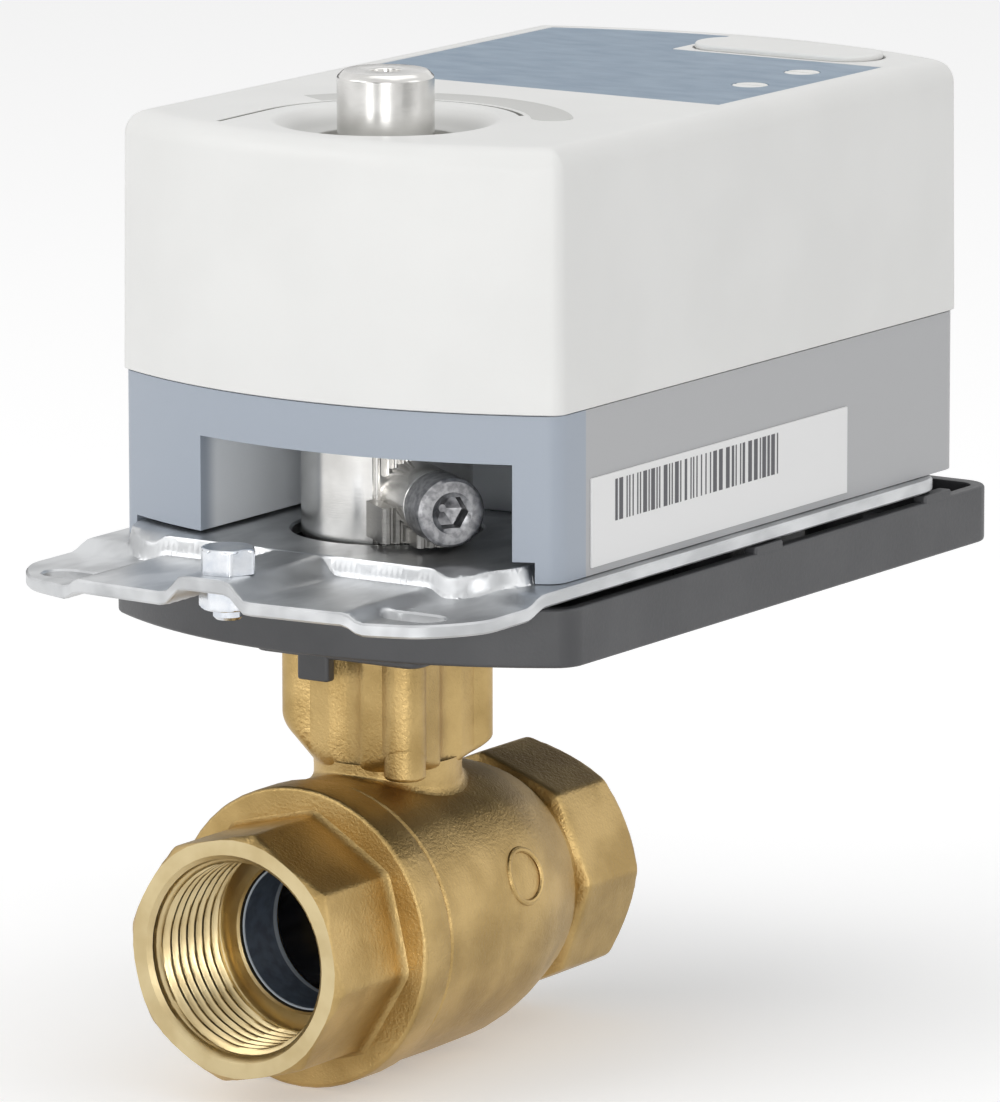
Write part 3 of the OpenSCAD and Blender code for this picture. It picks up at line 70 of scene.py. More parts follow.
camera = placed("camera", lens)
camera.matrix_world = Matrix.Translation(eye) @ Matrix((side, head, back)).transposed().to_4x4()
scene.camera = camera
scene.view_settings.view_transform = "Standard"


# Studio: a pale floor under the valve, a pale room, five soft lamps, and dark cards that only mirror
# images show. The white that the camera and the reflections see adds no light to the object.
class Wire:
    """One value in a material; sums on it add Math nodes."""

    def __init__(self, finish, socket):
        self.finish, self.socket = finish, socket

    def math(self, operation, *others):
        return self.finish.node("Math", [self, *others], operation=operation)

    def __add__(self, other):
        return self.math("ADD", other)

    def __sub__(self, other):
        return self.math("SUBTRACT", other)

    def __mul__(self, other):
        return self.math("MULTIPLY", other)

    __radd__ = __add__

    def hypot(self, other):
        return (self * self + other * other).math("SQRT")

    def above(self, low, high):
        """0 at low and 1 at high, smooth between and level beyond; low may be the larger one."""
        return self.finish.node("MapRange", {"Value": self, "From Min": low, "From Max": high},
                                interpolation_type="SMOOTHSTEP")


class Finish:
    """The nodes of a material or of the room; one with a colour gets a Principled shader."""

    def __init__(self, name, colour=None, roughness=0.5, metallic=0.0, tree=None):
        self.name = name
        if tree is None:
            self.material = bpy.data.materials.new(name)
            self.material.use_nodes = True
            tree = self.material.node_tree
        self.tree = tree
        tree.nodes.clear()
        if colour:
            self.shader = tree.nodes.new("ShaderNodeBsdfPrincipled")
            end = tree.nodes.new("ShaderNodeOutputMaterial")
            tree.links.new(self.shader.outputs[0], end.inputs[0])
            self.give(Base_Color=colour, Roughness=roughness, Metallic=metallic)

    def node(self, kind, values=(), out=0, stops=None, **settings):
        made = self.tree.nodes.new("ShaderNode" + kind)
        for key, value in settings.items():
            setattr(made, key, value)
        if stops:
            ramp = made.color_ramp
            while len(ramp.elements) < len(stops):
                ramp.elements.new(0.5)
            for element, (at, shade) in zip(ramp.elements, stops):
                element.position, element.color = at, (shade, shade, shade, 1)
        pairs = values.items() if isinstance(values, dict) else enumerate(values)
        for key, value in pairs:
            self.join(value, made.inputs[key])
        return Wire(self, made.outputs[out]) if made.outputs else None

    def join(self, value, socket):
        if isinstance(value, Wire):
            self.tree.links.new(value.socket, socket)
        elif isinstance(value, tuple) and len(value) == 3 and socket.type == "RGBA":
            socket.default_value = (*value, 1)
        else:
            socket.default_value = value

    def give(self, **values):
        for key, value in values.items():
            self.join(value, self.shader.inputs[key.replace("_", " ")])

    def place(self):
        return self.node("TexCoord", out="Object")

    def axis(self, letter):
        """One coordinate, in millimetres."""
        return self.node("SeparateXYZ", [self.place()], out=letter) * 1000

    def in_view(self):
        """1 for what the camera or a mirror image shows, 0 for the light that falls on things."""
        camera_ray, glossy, through = [self.node("LightPath", out=f"Is {kind} Ray")
                                       for kind in ("Camera", "Glossy", "Transmission")]
        return (camera_ray + glossy + through).math("MINIMUM", 1.0)

    def grain(self, size, detail=2, stretch=(1, 1, 1)):
        """Noise whose lumps are about size millimetres across, drawn out along an axis by stretch."""
        spread = tuple(1 / (s * size * MM) for s in stretch)
        at = self.node("VectorMath", [self.place(), spread], operation="MULTIPLY")
        return self.node("TexNoise", {"Vector": at, "Scale": 1.0, "Detail": detail})

    def mix(self, factor, one, two):
        made = self.tree.nodes.new("ShaderNodeMix")
        made.data_type = "RGBA"
        for index, value in ((0, factor), (6, one), (7, two)):
            self.join(value, made.inputs[index])
        return Wire(self, made.outputs[2])

    def mottle(self, noise, low, high, one, two, **others):
        """One colour where the noise is at low, and another where it is at high."""
        self.give(Base_Color=self.mix(noise.above(low, high), one, two), **others)

    def bump(self, height, depth):
        """Raises the surface by height times depth millimetres."""
        self.give(Normal=self.node("Bump", {"Height": height, "Distance": depth * MM}))


def plain_finish(name, colour, smooth, spread, size=0.5, metallic=0.0, stretch=(1, 1, 1)):
    """One colour, with a roughness that varies by spread above smooth, in grains of this size."""
    made = Finish(name, colour, smooth, metallic)
    made.give(Roughness=smooth + made.grain(size, stretch=stretch) * spread)
    return made


def rectangle(name, half_x, half_y, z=0.0):
    mesh = bpy.data.meshes.new(name)
    mesh.from_pydata([(-half_x, -half_y, z), (half_x, -half_y, z), (half_x, half_y, z),
                      (-half_x, half_y, z)], [], [(0, 1, 2, 3)])
    return mesh


FLOOR_HALF, FLOOR_Z = 6, -20.12 * MM
FLOOR_WHITE, PURE_WHITE = (0.86, 0.86, 0.86), (1, 1, 1)
floor = placed("floor", rectangle("floor", FLOOR_HALF, FLOOR_HALF, FLOOR_Z))
floor_look = Finish("floor")
matt = floor_look.node("BsdfDiffuse", {"Color": FLOOR_WHITE})
glow = floor_look.node("Emission", {"Color": PURE_WHITE, "Strength": 0.3})
lifted = floor_look.node("AddShader", [matt, glow])
floor_look.node("OutputMaterial", [floor_look.node("MixShader", [floor_look.in_view(), matt, lifted])])
floor.data.materials.append(floor_look.material)

world = bpy.data.worlds.new("room")
scene.world = world
world.use_nodes = True
room = Finish("room", tree=world.node_tree)
high = room.node("SeparateXYZ", [room.node("TexCoord", out="Generated")], out="Z")
wall = room.node("ValToRGB", [high * 0.5 + 0.5],
                 stops=[(0.0, 0.5), (0.46, 0.30), (0.60, 0.42), (0.8, 0.75), (1.0, 0.9)])
ambient = room.node("Background", {"Color": wall, "Strength": 0.8})
white = room.node("Background", {"Color": PURE_WHITE})
room.node("OutputWorld", [room.node("MixShader", [room.in_view(), ambient, white])])


def aimed(name, data, at, aim):
    """A new object that faces the point aim."""
    made = placed(name, data)
    made.location = at
    made.rotation_mode = "QUATERNION"
    made.rotation_quaternion = (Vector(aim) - Vector(at)).to_track_quat("-Z", "Y")
    return made


VALVE_MIDDLE, CASE_FOOT, CARD_AIM = (0.01, 0.06, 0.04), (0.0, 0.03, 0.055), (0.0, 0.04, 0.04)


def lamp(name, at, size, watts, aim=VALVE_MIDDLE):
    light = bpy.data.lights.new(name, "AREA")
    light.shape = "RECTANGLE"
    light.size, light.size_y = size
    light.energy = watts
    aimed(name, light, at, aim)


def dark_card(name, at, size, shade):
    """A card that only mirror images show, so that polished metal has dark bands."""
    card = aimed(name, rectangle(name, size[0] / 2, size[1] / 2), at, CARD_AIM)
    look = Finish(name)
    look.node("OutputMaterial", [look.node("Emission", {"Color": PURE_WHITE, "Strength": shade})])
    card.data.materials.append(look.material)
    card.visible_camera = card.visible_diffuse = card.visible_shadow = card.visible_transmission = False


dark_card("front_card", (0.25, -1.1, 0.02), (0.35, 1.2), 0.06)
dark_card("back_left_card", (-0.85, 1.0, -0.1), (1.3, 0.75), 0.03)
dark_card("low_left_card", (-0.66, -0.96, 0.26), (0.5, 0.36), 0.25)
dark_card("camera_card", (0.66, -0.93, -0.32), (0.4, 0.7), 0.04)
dark_card("right_card", (1.15, 0.1, -0.2), (0.9, 0.7), 0.05)
lamp("key_lamp", (-0.75, -0.85, 0.75), (0.9, 0.7), 3.7)
lamp("side_lamp", (1.0, 0.35, 0.45), (0.5, 0.9), 1.3)
lamp("top_lamp", (0.0, 0.3, 1.0), (0.8, 0.8), 1.6)
lamp("fill_lamp", (0.12, -1.2, 0.13), (0.7, 0.35), 2.5, CASE_FOOT)
lamp("camera_lamp", (0.68, -0.98, 0.18), (0.4, 0.3), 2.4, CASE_FOOT)


# Inlet end: a brass hot stamping screwed into the body. Its octagon takes the spanner and its ring
# seats on the body; the mouth, the crown's bevel and the 3/4 inch pipe thread are turned.
def within(x, y, loop):
    """True if the point lies inside a closed loop."""
    hit = False
    ax, ay = loop[-1]
    for bx, by in loop:
        if (ay > y) != (by > y) and x < (bx - ax) * (y - ay) / (by - ay) + ax:
            hit = not hit
        ax, ay = bx, by
    return hit


def loop_edges(loops):
    """Index pairs round closed loops whose points are listed one after another."""
    edges, start = [], 0
    for loop in loops:
        edges += [(start + i, start + (i + 1) % len(loop)) for i in range(len(loop))]
        start += len(loop)
    return edges


class Shape:
    """Points and faces of one piece, gathered part by part, in millimetres."""

    def __init__(self, origin=(0, 0, 0)):
        self.origin = Vector(origin)
        self.points, self.faces = [], []

    def ring(self, points):
        start = len(self.points)
        self.points += [(self.origin + Vector(p)) * MM for p in points]
        return list(range(start, len(self.points)))

    def join(self, one, two):
        for i in range(len(one)):
            j = (i + 1) % len(one)
            self.faces.append((one[i], one[j], two[j], two[i]))

    def loft(self, rings):
        ids = [self.ring(r) for r in rings]
        for one, two in zip(ids, ids[1:]):
            self.join(one, two)
        return ids

    def fill(self, outline, holes=()):
        """Flat triangles inside a closed loop of points, with holes."""
        loops = [outline, *holes]
        flat = sum(loops, [])
        facing = geometry.normal([self.points[i] / MM for i in outline])
        level_out = facing.rotation_difference(Vector((0, 0, 1))).to_matrix()
        rims = [[(level_out @ (self.points[i] / MM)).to_2d() for i in loop] for loop in loops]
        got = geometry.delaunay_2d_cdt(sum(rims, []), loop_edges(loops), [], 0, 1e-6)
        for triangle in got[2]:
            x, y = sum((got[0][v] for v in triangle), Vector((0, 0))) / 3
            in_hole = any(within(x, y, rim) for rim in rims[1:])
            if all(got[3][v] for v in triangle) and within(x, y, rims[0]) and not in_hole:
                self.faces.append(tuple(flat[got[3][v][0]] for v in triangle))

    def solid(self, rings):
        """A loft that is closed by a flat face at each end."""
        ids = self.loft(rings)
        self.fill(ids[0])
        self.fill(ids[-1])


def modify(made, name, kind, **settings):
    modifier = made.modifiers.new(name, kind)
    for key, value in settings.items():
        setattr(modifier, key, value)


def piece(name, shape, finish, stands_for=None, body="housing", crease=38):
    """Makes the object of a shape, smooth but for edges sharper than crease degrees."""
    mesh = bpy.data.meshes.new(name)
    mesh.from_pydata(shape.points, [], shape.faces)
    made = placed(name, mesh)
    form = bmesh.new()
    form.from_mesh(mesh)
    bmesh.ops.remove_doubles(form, verts=form.verts, dist=0.002 * MM)
    bmesh.ops.recalc_face_normals(form, faces=form.faces)
    for face in form.faces:
        face.smooth = True
    for edge in form.edges:
        if len(edge.link_faces) == 2:
            edge.smooth = edge.calc_face_angle(0) < radians(crease)
    form.to_mesh(mesh)
    form.free()
    mesh.materials.append(finish.material)
    modify(made, "even", "WEIGHTED_NORMAL", keep_sharp=True)
    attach(made, body)
    if stands_for:
        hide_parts(stands_for)


def soft_min(a, b, blend):
    """The lower of two radii, with the corner between them rounded."""
    h = max(blend - abs(a - b), 0) / blend
    return min(a, b) - h * h * blend / 4


def polar(r, turn, x=0, y=0):
    """The point at this distance and angle, in degrees, from (x, y)."""
    return x + r * cos(radians(turn)), y + r * sin(radians(turn))


def arc(x, y, r, start, end, count):
    return [polar(r, start + (end - start) * i / count, x, y) for i in range(count + 1)]


def circle(r, steps, x=0, y=0):
    return arc(x, y, r, 0, 360, steps)[:-1]


def at_height(points, z):
    return [(x, y, z) for x, y in points]


def spun(profile, steps, x=0, y=0):
    """Rings round an upright axis at (x, y), from (radius, z) pairs."""
    return [at_height(circle(r, steps, x, y), z) for r, z in profile]


def round_angles(turn):
    """Angles round a port, closer together near the octagon's corners."""
    spots = []
    for corner in range(8):
        middle = turn + 45 * corner
        spots += [middle + d for d in (-2.4, -1.2, -0.4, 0.4, 1.2, 2.4)]
        spots += [middle + 2.4 + (45 - 4.8) * k / 6 for k in range(1, 6)]
    return sorted(a % 360 for a in spots)


def quarter(steps):
    """What a round edge of radius 1 is drawn in by, and how far it is below its top, step by step."""
    swings = [pi / 2 * k / steps for k in range(steps + 1)]
    return [(1 - cos(t), 1 - sin(t)) for t in swings]


def along(y, radii):
    """A ring round the pipe axis at y, from (angle, radius) pairs."""
    return [(x, y, z) for x, z in (polar(r, a) for a, r in radii)]


def hoop(y, radius, angles):
    """A round ring about the pipe axis."""
    return along(y, [(a, radius) for a in angles])


OCTAGON_AF, OCTAGON_CORNER = 31.5, 17.05
INLET_TURN, OUTLET_TURN = -9, 2
CROWN, EDGE = 1.2, 0.35
PORT_R, PORT_MOUTH, PORT_END = 13.2, 13.8, 16.0
THREAD_PITCH, THREAD_DEPTH, THREAD_FROM, THREAD_TO = 1.814, 0.85, 1.1, 15.2
SEAT_BORE = 10.2

cast_brass = Finish("cast_brass", (0.5, 0.36, 0.15), 0.36, 1.0)
blotch = cast_brass.grain(9, 3)
speck = cast_brass.grain(0.5, 3)
pits = cast_brass.grain(0.28)
cast_brass.mottle(blotch, 0.3, 0.7, (0.40, 0.272, 0.105), (0.57, 0.405, 0.175),
                  Roughness=0.30 + speck * 0.16 + blotch * 0.08)
cast_brass.bump(pits * 0.6 + speck * 1.1 + blotch * 1.2, 0.075)

turned_brass = Finish("turned_brass", (0.72, 0.55, 0.27), 0.22, 1.0)
tool_marks = turned_brass.grain(0.35, stretch=(1, 0.35, 1))
turned_brass.mottle(turned_brass.grain(6, 3), 0.35, 0.7, (0.66, 0.54, 0.31), (0.56, 0.44, 0.235),
                    Roughness=0.24 + tool_marks * 0.14)
turned_brass.bump(tool_marks, 0.012)


def end_radius(angle, depth, turn):
    """Outside of a spanner end, depth behind its face: flats, round corners and the crown's bevel."""
    off = (angle - turn) % 45 - 22.5
    flat = soft_min(OCTAGON_AF / 2 / cos(radians(off)), OCTAGON_CORNER - 0.12, 0.5)
    return soft_min(flat, OCTAGON_CORNER - CROWN + depth, EDGE)


def port_inside(name, angles, turn, mouth, inward, bore_end):
    """The turned inside of a port: rim, bevel, thread and step, and the seat's bore behind them."""
    rings = [along(mouth, [(a, end_radius(a, 0, turn)) for a in angles]), hoop(mouth, PORT_MOUTH, angles),
             hoop(mouth + inward * (PORT_MOUTH - PORT_R), PORT_R, angles)]
    count = int((THREAD_TO - THREAD_FROM) / THREAD_PITCH * 12)
    for k in range(1, count):
        depth = THREAD_FROM + (THREAD_TO - THREAD_FROM) * k / count
        grown = min(1, (depth - THREAD_FROM) / 1.4, (THREAD_TO - depth) / 0.8)
        row = []
        for a in angles:
            phase = (depth / THREAD_PITCH + inward * a / 360) % 1
            tooth = min(1, max(0, 1.5 - abs(phase - 0.5) * 3.6))
            row.append((a, PORT_R - THREAD_DEPTH * tooth * grown))
        rings.append(along(mouth + inward * depth, row))
    rings += [hoop(mouth + inward * depth, radius, angles) for depth, radius in
              ((THREAD_TO, PORT_R), (PORT_END - 0.15, PORT_R), (PORT_END, PORT_R - 0.15),
               (PORT_END, SEAT_BORE + 0.3), (PORT_END + 0.3, SEAT_BORE))]
    thread, throat = Shape(), Shape()
    thread.loft(rings)
    throat.loft([rings[-1], hoop(bore_end, SEAT_BORE, angles)])
    piece(name + "_thread", thread, turned_brass)
    # the throat, which is the seat's bore, gets painted shade: a near black brass colour
    piece(name + "_throat", throat, bore_shade_brass)


INLET_OCTAGON, RING_R, RING_BACK = 15.0, 20.1, 21.2
inlet_angles = round_angles(INLET_TURN)
inlet_end = Shape()
rings = []
for y in (0, 0.15, 0.35, 0.6, 0.85, 1.1, 1.4, 1.8, 2.4, 5, 8, 11, 13.4, 14.2, 14.75, INLET_OCTAGON):
    fillet = max(0, y - 14.0) ** 2 * 0.7
    rings.append(along(y, [(a, end_radius(a, y, INLET_TURN) + fillet) for a in inlet_angles]))
rings += [hoop(y, r, inlet_angles) for y, r in
          ((INLET_OCTAGON, 19.5), (15.12, 19.85), (15.5, RING_R), (18, RING_R), (20.6, RING_R), (21.0, 19.9),
           (RING_BACK, 19.6), (RING_BACK, 16.5), (RING_BACK, SEAT_BORE))]
inlet_end.loft(rings)
piece("inlet_end", inlet_end, cast_brass, "end_cap")
# Painted shade: the seats' bores deep in the ports are coloured near black.
bore_shade_brass = plain_finish("bore_shade_brass", (0.05, 0.04, 0.025), 0.5, 0.3, metallic=0.4)
port_inside("inlet", inlet_angles, INLET_TURN, 0, 1, RING_BACK)


# Valve body: the second brass stamping, blasted, with the ball housing, the neck and the square boss
# that the actuator's tray grips. Its outlet is the same threaded octagon as the inlet.
HOUSING_R, GROOVE_R, OUTLET_SEAT_BACK, FACE_TO_FACE, STEM_Y = 19.5, 15.0, 51.1, 72.5, 36.25
OUTLET_OCTAGON = 13.0
outlet_angles = round_angles(OUTLET_TURN)
valve_body = Shape()
profile = [(OUTLET_SEAT_BACK, SEAT_BORE), (OUTLET_SEAT_BACK, 14.6), (46.2, 14.6), (45.5, 16.2), (21.3, 16.2),
           (21.3, 18.5), (21.8, 18.55), (22.05, 19.2), (22.4, HOUSING_R), (24, HOUSING_R),
           (28, HOUSING_R + 0.05), (34, HOUSING_R + 0.08), (40, HOUSING_R), (44, 19.42), (47, 19.0),
           (50, 18.3), (53, 17.4), (55.5, 16.6), (57.0, 16.1), (57.3, 15.6), (57.7, GROOVE_R + 0.05),
           (58.4, GROOVE_R), (59.2, GROOVE_R + 0.05)]
rings = [hoop(y, r, outlet_angles) for y, r in profile]
for depth in (OUTLET_OCTAGON, 12.8, 12.4, 11.8, 10, 7.5, 5, 3, 2.2, 1.7, 1.3, 1.05, 0.8, 0.55, 0.3, 0.12, 0):
    eased = 0.35 * (1 - min(1, (OUTLET_OCTAGON - depth) / 0.5)) ** 2
    row = [(a, end_radius(a, depth, OUTLET_TURN) - eased) for a in outlet_angles]
    rings.append(along(FACE_TO_FACE - depth, row))
valve_body.loft(rings)

NECK_R, BOSS_HALF, LOBE_R, BOSS_BOTTOM, BOSS_TOP = 9.8, 10.8, 2.8, 20.5, 41.5
LOBE_AT, GROOVE_AWAY, GROOVE_ROUND = BOSS_HALF - LOBE_R, BOSS_HALF + 1.7, 3.4
NECK_FLARE, NECK_SEAM, NECK_TOP = 1.1, 20.3, 21.2


def step_up(value, start, end):
    t = max(0.0, min(1.0, (value - start) / (end - start)))
    return t * t * (3 - 2 * t)


def boss_radius(turn):
    """The square boss from above: round lobes at the corners, a groove down the middle of each side."""
    x, y = [abs(c) for c in polar(1, turn)]
    reach = (BOSS_HALF - 0.93) / max(x, y)
    to_lobe, to_groove = LOBE_AT * (x + y), GROOVE_AWAY * max(x, y)
    in_lobe = LOBE_R ** 2 - 2 * LOBE_AT ** 2 + to_lobe ** 2
    in_groove = GROOVE_ROUND ** 2 - GROOVE_AWAY ** 2 + to_groove ** 2
    if in_lobe > 0:
        reach = max(reach, to_lobe + sqrt(in_lobe))
    if in_groove > 0:
        reach = soft_min(reach, to_groove - sqrt(in_groove), 0.8)
    return reach


def boss_ring(z):
    """One level of the boss; its underside slopes in to the neck, more gently at the back right."""
    ring = []
    for turn in range(0, 360, 2):
        slope = 1.45 + 0.65 * cos(radians(turn - 45))
        cone = NECK_R + 0.03 + slope * max(0, z - BOSS_BOTTOM)
        ring.append((*polar(soft_min(boss_radius(turn), cone, 1.2), turn, 0, STEM_Y), z))
    return ring


def neck_ring(share):
    """The casting's fillet from the neck to the round housing; share runs from 0 at the neck to 1."""
    ring = []
    swing = share * pi / 2
    for turn in range(0, 360, 2):
        x, y = polar(NECK_R + NECK_FLARE * (1 - cos(swing)), turn, 0, STEM_Y)
        rise_by = NECK_FLARE * (1 - sin(swing)) * (0.35 + 0.65 * abs(cos(radians(turn))))
        ring.append((x, y, min(sqrt(HOUSING_R ** 2 - x * x) + rise_by - 0.12 * share, NECK_SEAM)))
    return ring


neck = [neck_ring(1 - k / 6) for k in range(7)]
neck.append([(x, y, NECK_TOP) for x, y, z in neck[-1]])
valve_body.loft(neck)
boss = [boss_ring(19.9 + 0.25 * k) for k in range(32)] + [boss_ring(z) for z in (28.5, 31, 34, 38, 41.2)]
boss.append([(x * 0.97, STEM_Y + (y - STEM_Y) * 0.97, BOSS_TOP) for x, y, z in boss_ring(41.2)])
boss += spun(((7.8, BOSS_TOP), (7.8, 24), (4.8, 24), (4.8, 17)), 180, 0, STEM_Y)
valve_body.loft(boss)
lobe = [at_height(circle(LOBE_R - 0.05 - 0.8 * s, 72, LOBE_AT, STEM_Y - LOBE_AT), NECK_SEAM - 0.6 + 0.6 * c)
        for c, s in quarter(7)]
lobe.append([(x, y, 36.0) for x, y, z in lobe[-1]])
valve_body.fill(valve_body.loft(lobe)[0])

MARK_AT, MARK_UP, MARK_R = 41.0, 17, 3.6
mark = []
for k in range(49):
    t = pi * k / 24
    row = []
    for m in range(8):
        s = pi * m / 4
        reach = MARK_R + 0.42 * cos(s)
        turn = radians(MARK_UP) + reach * sin(t) / HOUSING_R
        lift = HOUSING_R + 0.02 + 0.28 * sin(s)
        row.append((lift * cos(turn), MARK_AT + reach * cos(t), lift * sin(turn)))
    mark.append(row)
valve_body.loft(mark)
piece("valve_casting", valve_body, cast_brass, "valve_body", crease=30)
port_inside("outlet", outlet_angles, OUTLET_TURN, FACE_TO_FACE, -1, OUTLET_SEAT_BACK)


# Ball, seats and stem: a plated brass ball between two dark filled PTFE rings, with its stem, washers,
# packing and gland nut. All are turned or moulded. The seats are made here, with their thin collars in
# the ports' bores, and the rest keep their CAD shapes, with eased edges.
def keep(names, finish, ease=0.12, crease=32):
    """Leaves CAD nodes as they are, with a material and slightly rounded edges."""
    for name in names.split():
        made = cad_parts[name]
        mesh = made.data
        custom = mesh.attributes.get("custom_normal")
        if custom:
            mesh.attributes.remove(custom)
        for face in mesh.polygons:
            face.use_smooth = True
        mesh.materials.clear()
        mesh.materials.append(finish.material)
        modify(made, "join", "WELD", merge_threshold=0.001 * MM)
        if ease:
            modify(made, "flat", "DECIMATE", decimate_type="DISSOLVE", angle_limit=radians(0.6))
            modify(made, "edge", "BEVEL", width=ease * MM, segments=2, limit_method="ANGLE",
                   angle_limit=radians(crease))
        modify(made, "even", "WEIGHTED_NORMAL", keep_sharp=True)


BALL_BORE, BALL_NICKEL = 9.6, (0.75, 0.76, 0.78)
plated = Finish("plated_ball", BALL_NICKEL, 0.12, 1.0)
# Painted shade: inside its bore the ball is coloured near black.
bore_shade = plated.axis("X").hypot(plated.axis("Z")).above(BALL_BORE + 0.05, BALL_BORE + 0.15)
plated.give(Base_Color=plated.mix(bore_shade, (0.03, 0.03, 0.035), BALL_NICKEL),
            Roughness=0.08 + plated.grain(3, 3) * 0.1)
seat_dark = Finish("seat_dark", (0.05, 0.07, 0.10), 0.34)
seat_cloud = seat_dark.mix(seat_dark.grain(1.5, 3).above(0.3, 0.7), (0.06, 0.08, 0.12), (0.10, 0.135, 0.19))
seat_reach = seat_dark.axis("X").hypot(seat_dark.axis("Z"))
from_ball = (seat_dark.axis("Y") - STEM_Y).math("ABSOLUTE")
# Painted highlight: the seats' thin inner edges are coloured pale, for light caught on them.
seat_lip_highlight = from_ball.above(19.3, 19.4) * seat_reach.above(10.05, 9.95)
seat_edge_highlight = seat_lip_highlight + from_ball.above(12.9, 12.7) * seat_reach.above(10.0, 9.9)
seat_dark.give(Base_Color=seat_dark.mix(seat_edge_highlight, seat_cloud, (0.42, 0.48, 0.55)),
               Roughness=0.28 + seat_dark.grain(0.4) * 0.15)
stem_steel = plain_finish("stem_steel", (0.55, 0.55, 0.56), 0.22, 0.16, metallic=1.0, stretch=(1, 1, 0.3))
seal_white = plain_finish("seal_white", (0.85, 0.85, 0.82), 0.42, 0.16, 0.8)
black_rubber = plain_finish("black_rubber", (0.03, 0.03, 0.032), 0.66, 0.2, 0.6)
black_rubber.bump(black_rubber.grain(0.5, 3), 0.03)
keep("ball", plated, 0.25)


def seat_ring(port, towards):
    """A seat with its thin collar in the port's bore; towards is -1 for the inlet side."""
    shape = Shape()
    rows = [(9.75, 19.35), (9.85, 19.5), (10.0, 19.55), (10.1, 19.35), (10.14, 19.0), (10.14, 14.9),
            (14.3, 14.9), (14.48, 14.7), (14.48, 12.6), (14.2, 12.0), (14.0, 11.9), (9.75, 11.9)]
    shape.loft([hoop(STEM_Y + towards * y, r, range(0, 360, 5)) for r, y in rows + rows[:1]])
    piece(port + "_seat_ring", shape, seat_dark, port + "_seat")


seat_ring("inlet", -1)
seat_ring("outlet", 1)
keep("stem shaft_adapter clamp_jaw gear_axles", stem_steel)
keep("body_seal thrust_washer packing board_spacers", seal_white, 0)
keep("stem_seals cover_seal", black_rubber, 0)
keep("gland_nut lower_bush upper_bush motor_pinion", turned_brass)


# Mounting tray: a black moulded tray that clips on the square boss and carries bracket and actuator.
# Its rim stands round the bracket, and a small lug locks it to the boss.
tray_black = Finish("tray_black", (0.10, 0.10, 0.105), 0.42)
tray_black.mottle(tray_black.grain(14, 3), 0.3, 0.7, (0.062, 0.063, 0.067), (0.08, 0.081, 0.085),
                  Roughness=0.36 + tray_black.grain(0.5, 3) * 0.16)
tray_black.bump(tray_black.grain(0.45, 3), 0.03)


def bulged(half, front, bulge, rear_y, tail, corner):
    """Plan of the case or tray: straight sides, bulging ends and round corners, as a list of points."""
    big = (half * half + bulge * bulge) / 2 / bulge
    big_y = big - front - bulge
    corner_y = big_y - sqrt((big - corner) ** 2 - (half - corner) ** 2)
    meet = degrees(atan2(corner_y - big_y, half - corner))
    rear = (half * half + tail * tail) / 2 / tail
    rear_c = rear_y + tail - rear
    tail_y = rear_c + sqrt((rear - corner) ** 2 - (half - corner) ** 2)
    part = degrees(atan2(tail_y - rear_c, half - corner))
    right = arc(half - corner, corner_y, corner, meet, 0, 8)
    right += [(half, corner_y + (tail_y - corner_y) * k / 8) for k in range(1, 8)]
    right += arc(half - corner, tail_y, corner, 0, part, 8)
    return (arc(0, big_y, big, -180 - meet, meet, 30)[1:-1] + right
            + arc(0, rear_c, rear, part, 180 - part, 30)[1:-1] + [(-x, y) for x, y in right[::-1]])


def inset(points, by):
    """A closed outline, listed anticlockwise, moved inwards by the same distance all round."""
    moved = []
    for i, (x, y) in enumerate(points):
        ax, ay = points[i - 1]
        bx, by_ = points[(i + 1) % len(points)]
        d1 = Vector((x - ax, y - ay)).normalized()
        d2 = Vector((bx - x, by_ - y)).normalized()
        n1, n2 = Vector((-d1.y, d1.x)), Vector((-d2.y, d2.x))
        n = (n1 + n2).normalized()
        reach = by / max(0.3, n.dot(n1))
        moved.append((x + n.x * reach, y + n.y * reach))
    return moved


def rounded_wall(outline, z0, z1, low, high):
    """Rings up a wall, from a rounded bottom edge of radius low to a rounded top edge of radius high."""
    return ([at_height(inset(outline, low * s), z0 + low * c) for c, s in quarter(3)]
            + [at_height(inset(outline, high * c), z1 - high * s) for c, s in quarter(3)])


def box_plan(x0, x1, y0, y1, r=0.5, fine=3):
    corners = (x1 - r, y0 + r), (x1 - r, y1 - r), (x0 + r, y1 - r), (x0 + r, y0 + r)
    return sum((arc(x, y, r, 90 * k - 90, 90 * k, fine) for k, (x, y) in enumerate(corners)), [])


TRAY_LOW, TRAY_RIM, TRAY_WALL, SOCKET = -10.9, -3.1, 2.0, 13.0
SCREW_SPOTS = [(x, y) for x in (-24, 24) for y in (40, 74)]
tray = Shape(CASE)
tray_plan = bulged(36.2, 11.0, 11.5, 96.7, 0.6, 4.2)
inside = [(TRAY_WALL - 0.4, TRAY_RIM), (TRAY_WALL - 0.1, TRAY_RIM - 0.1), (TRAY_WALL, TRAY_RIM - 0.4),
          (TRAY_WALL, TRAY_LOW + TRAY_WALL + 0.5), (TRAY_WALL + 0.5, TRAY_LOW + TRAY_WALL)]
tray.solid(rounded_wall(tray_plan, TRAY_LOW, TRAY_RIM, 0.5, 0.45)
           + [at_height(inset(tray_plan, by), z) for by, z in inside])
tray.solid(rounded_wall(box_plan(-SOCKET, SOCKET, -SOCKET, SOCKET, 2.2, 5), -13.4, -10.2, 0.5, 0))
tray.solid(rounded_wall(box_plan(-SOCKET, SOCKET, -SOCKET, SOCKET, 1.2, 4), TRAY_LOW, -4.6, 0, 0.3))
tray.solid(rounded_wall(box_plan(-5.7, -0.8, -13.0, -11.1, 0.5), -16.5, -10.2, 0.35, 0))
for x, y in SCREW_SPOTS:
    tray.solid(rounded_wall(circle(4, 24, x, y), TRAY_LOW + 0.5, -1.95, 0, 0.2))
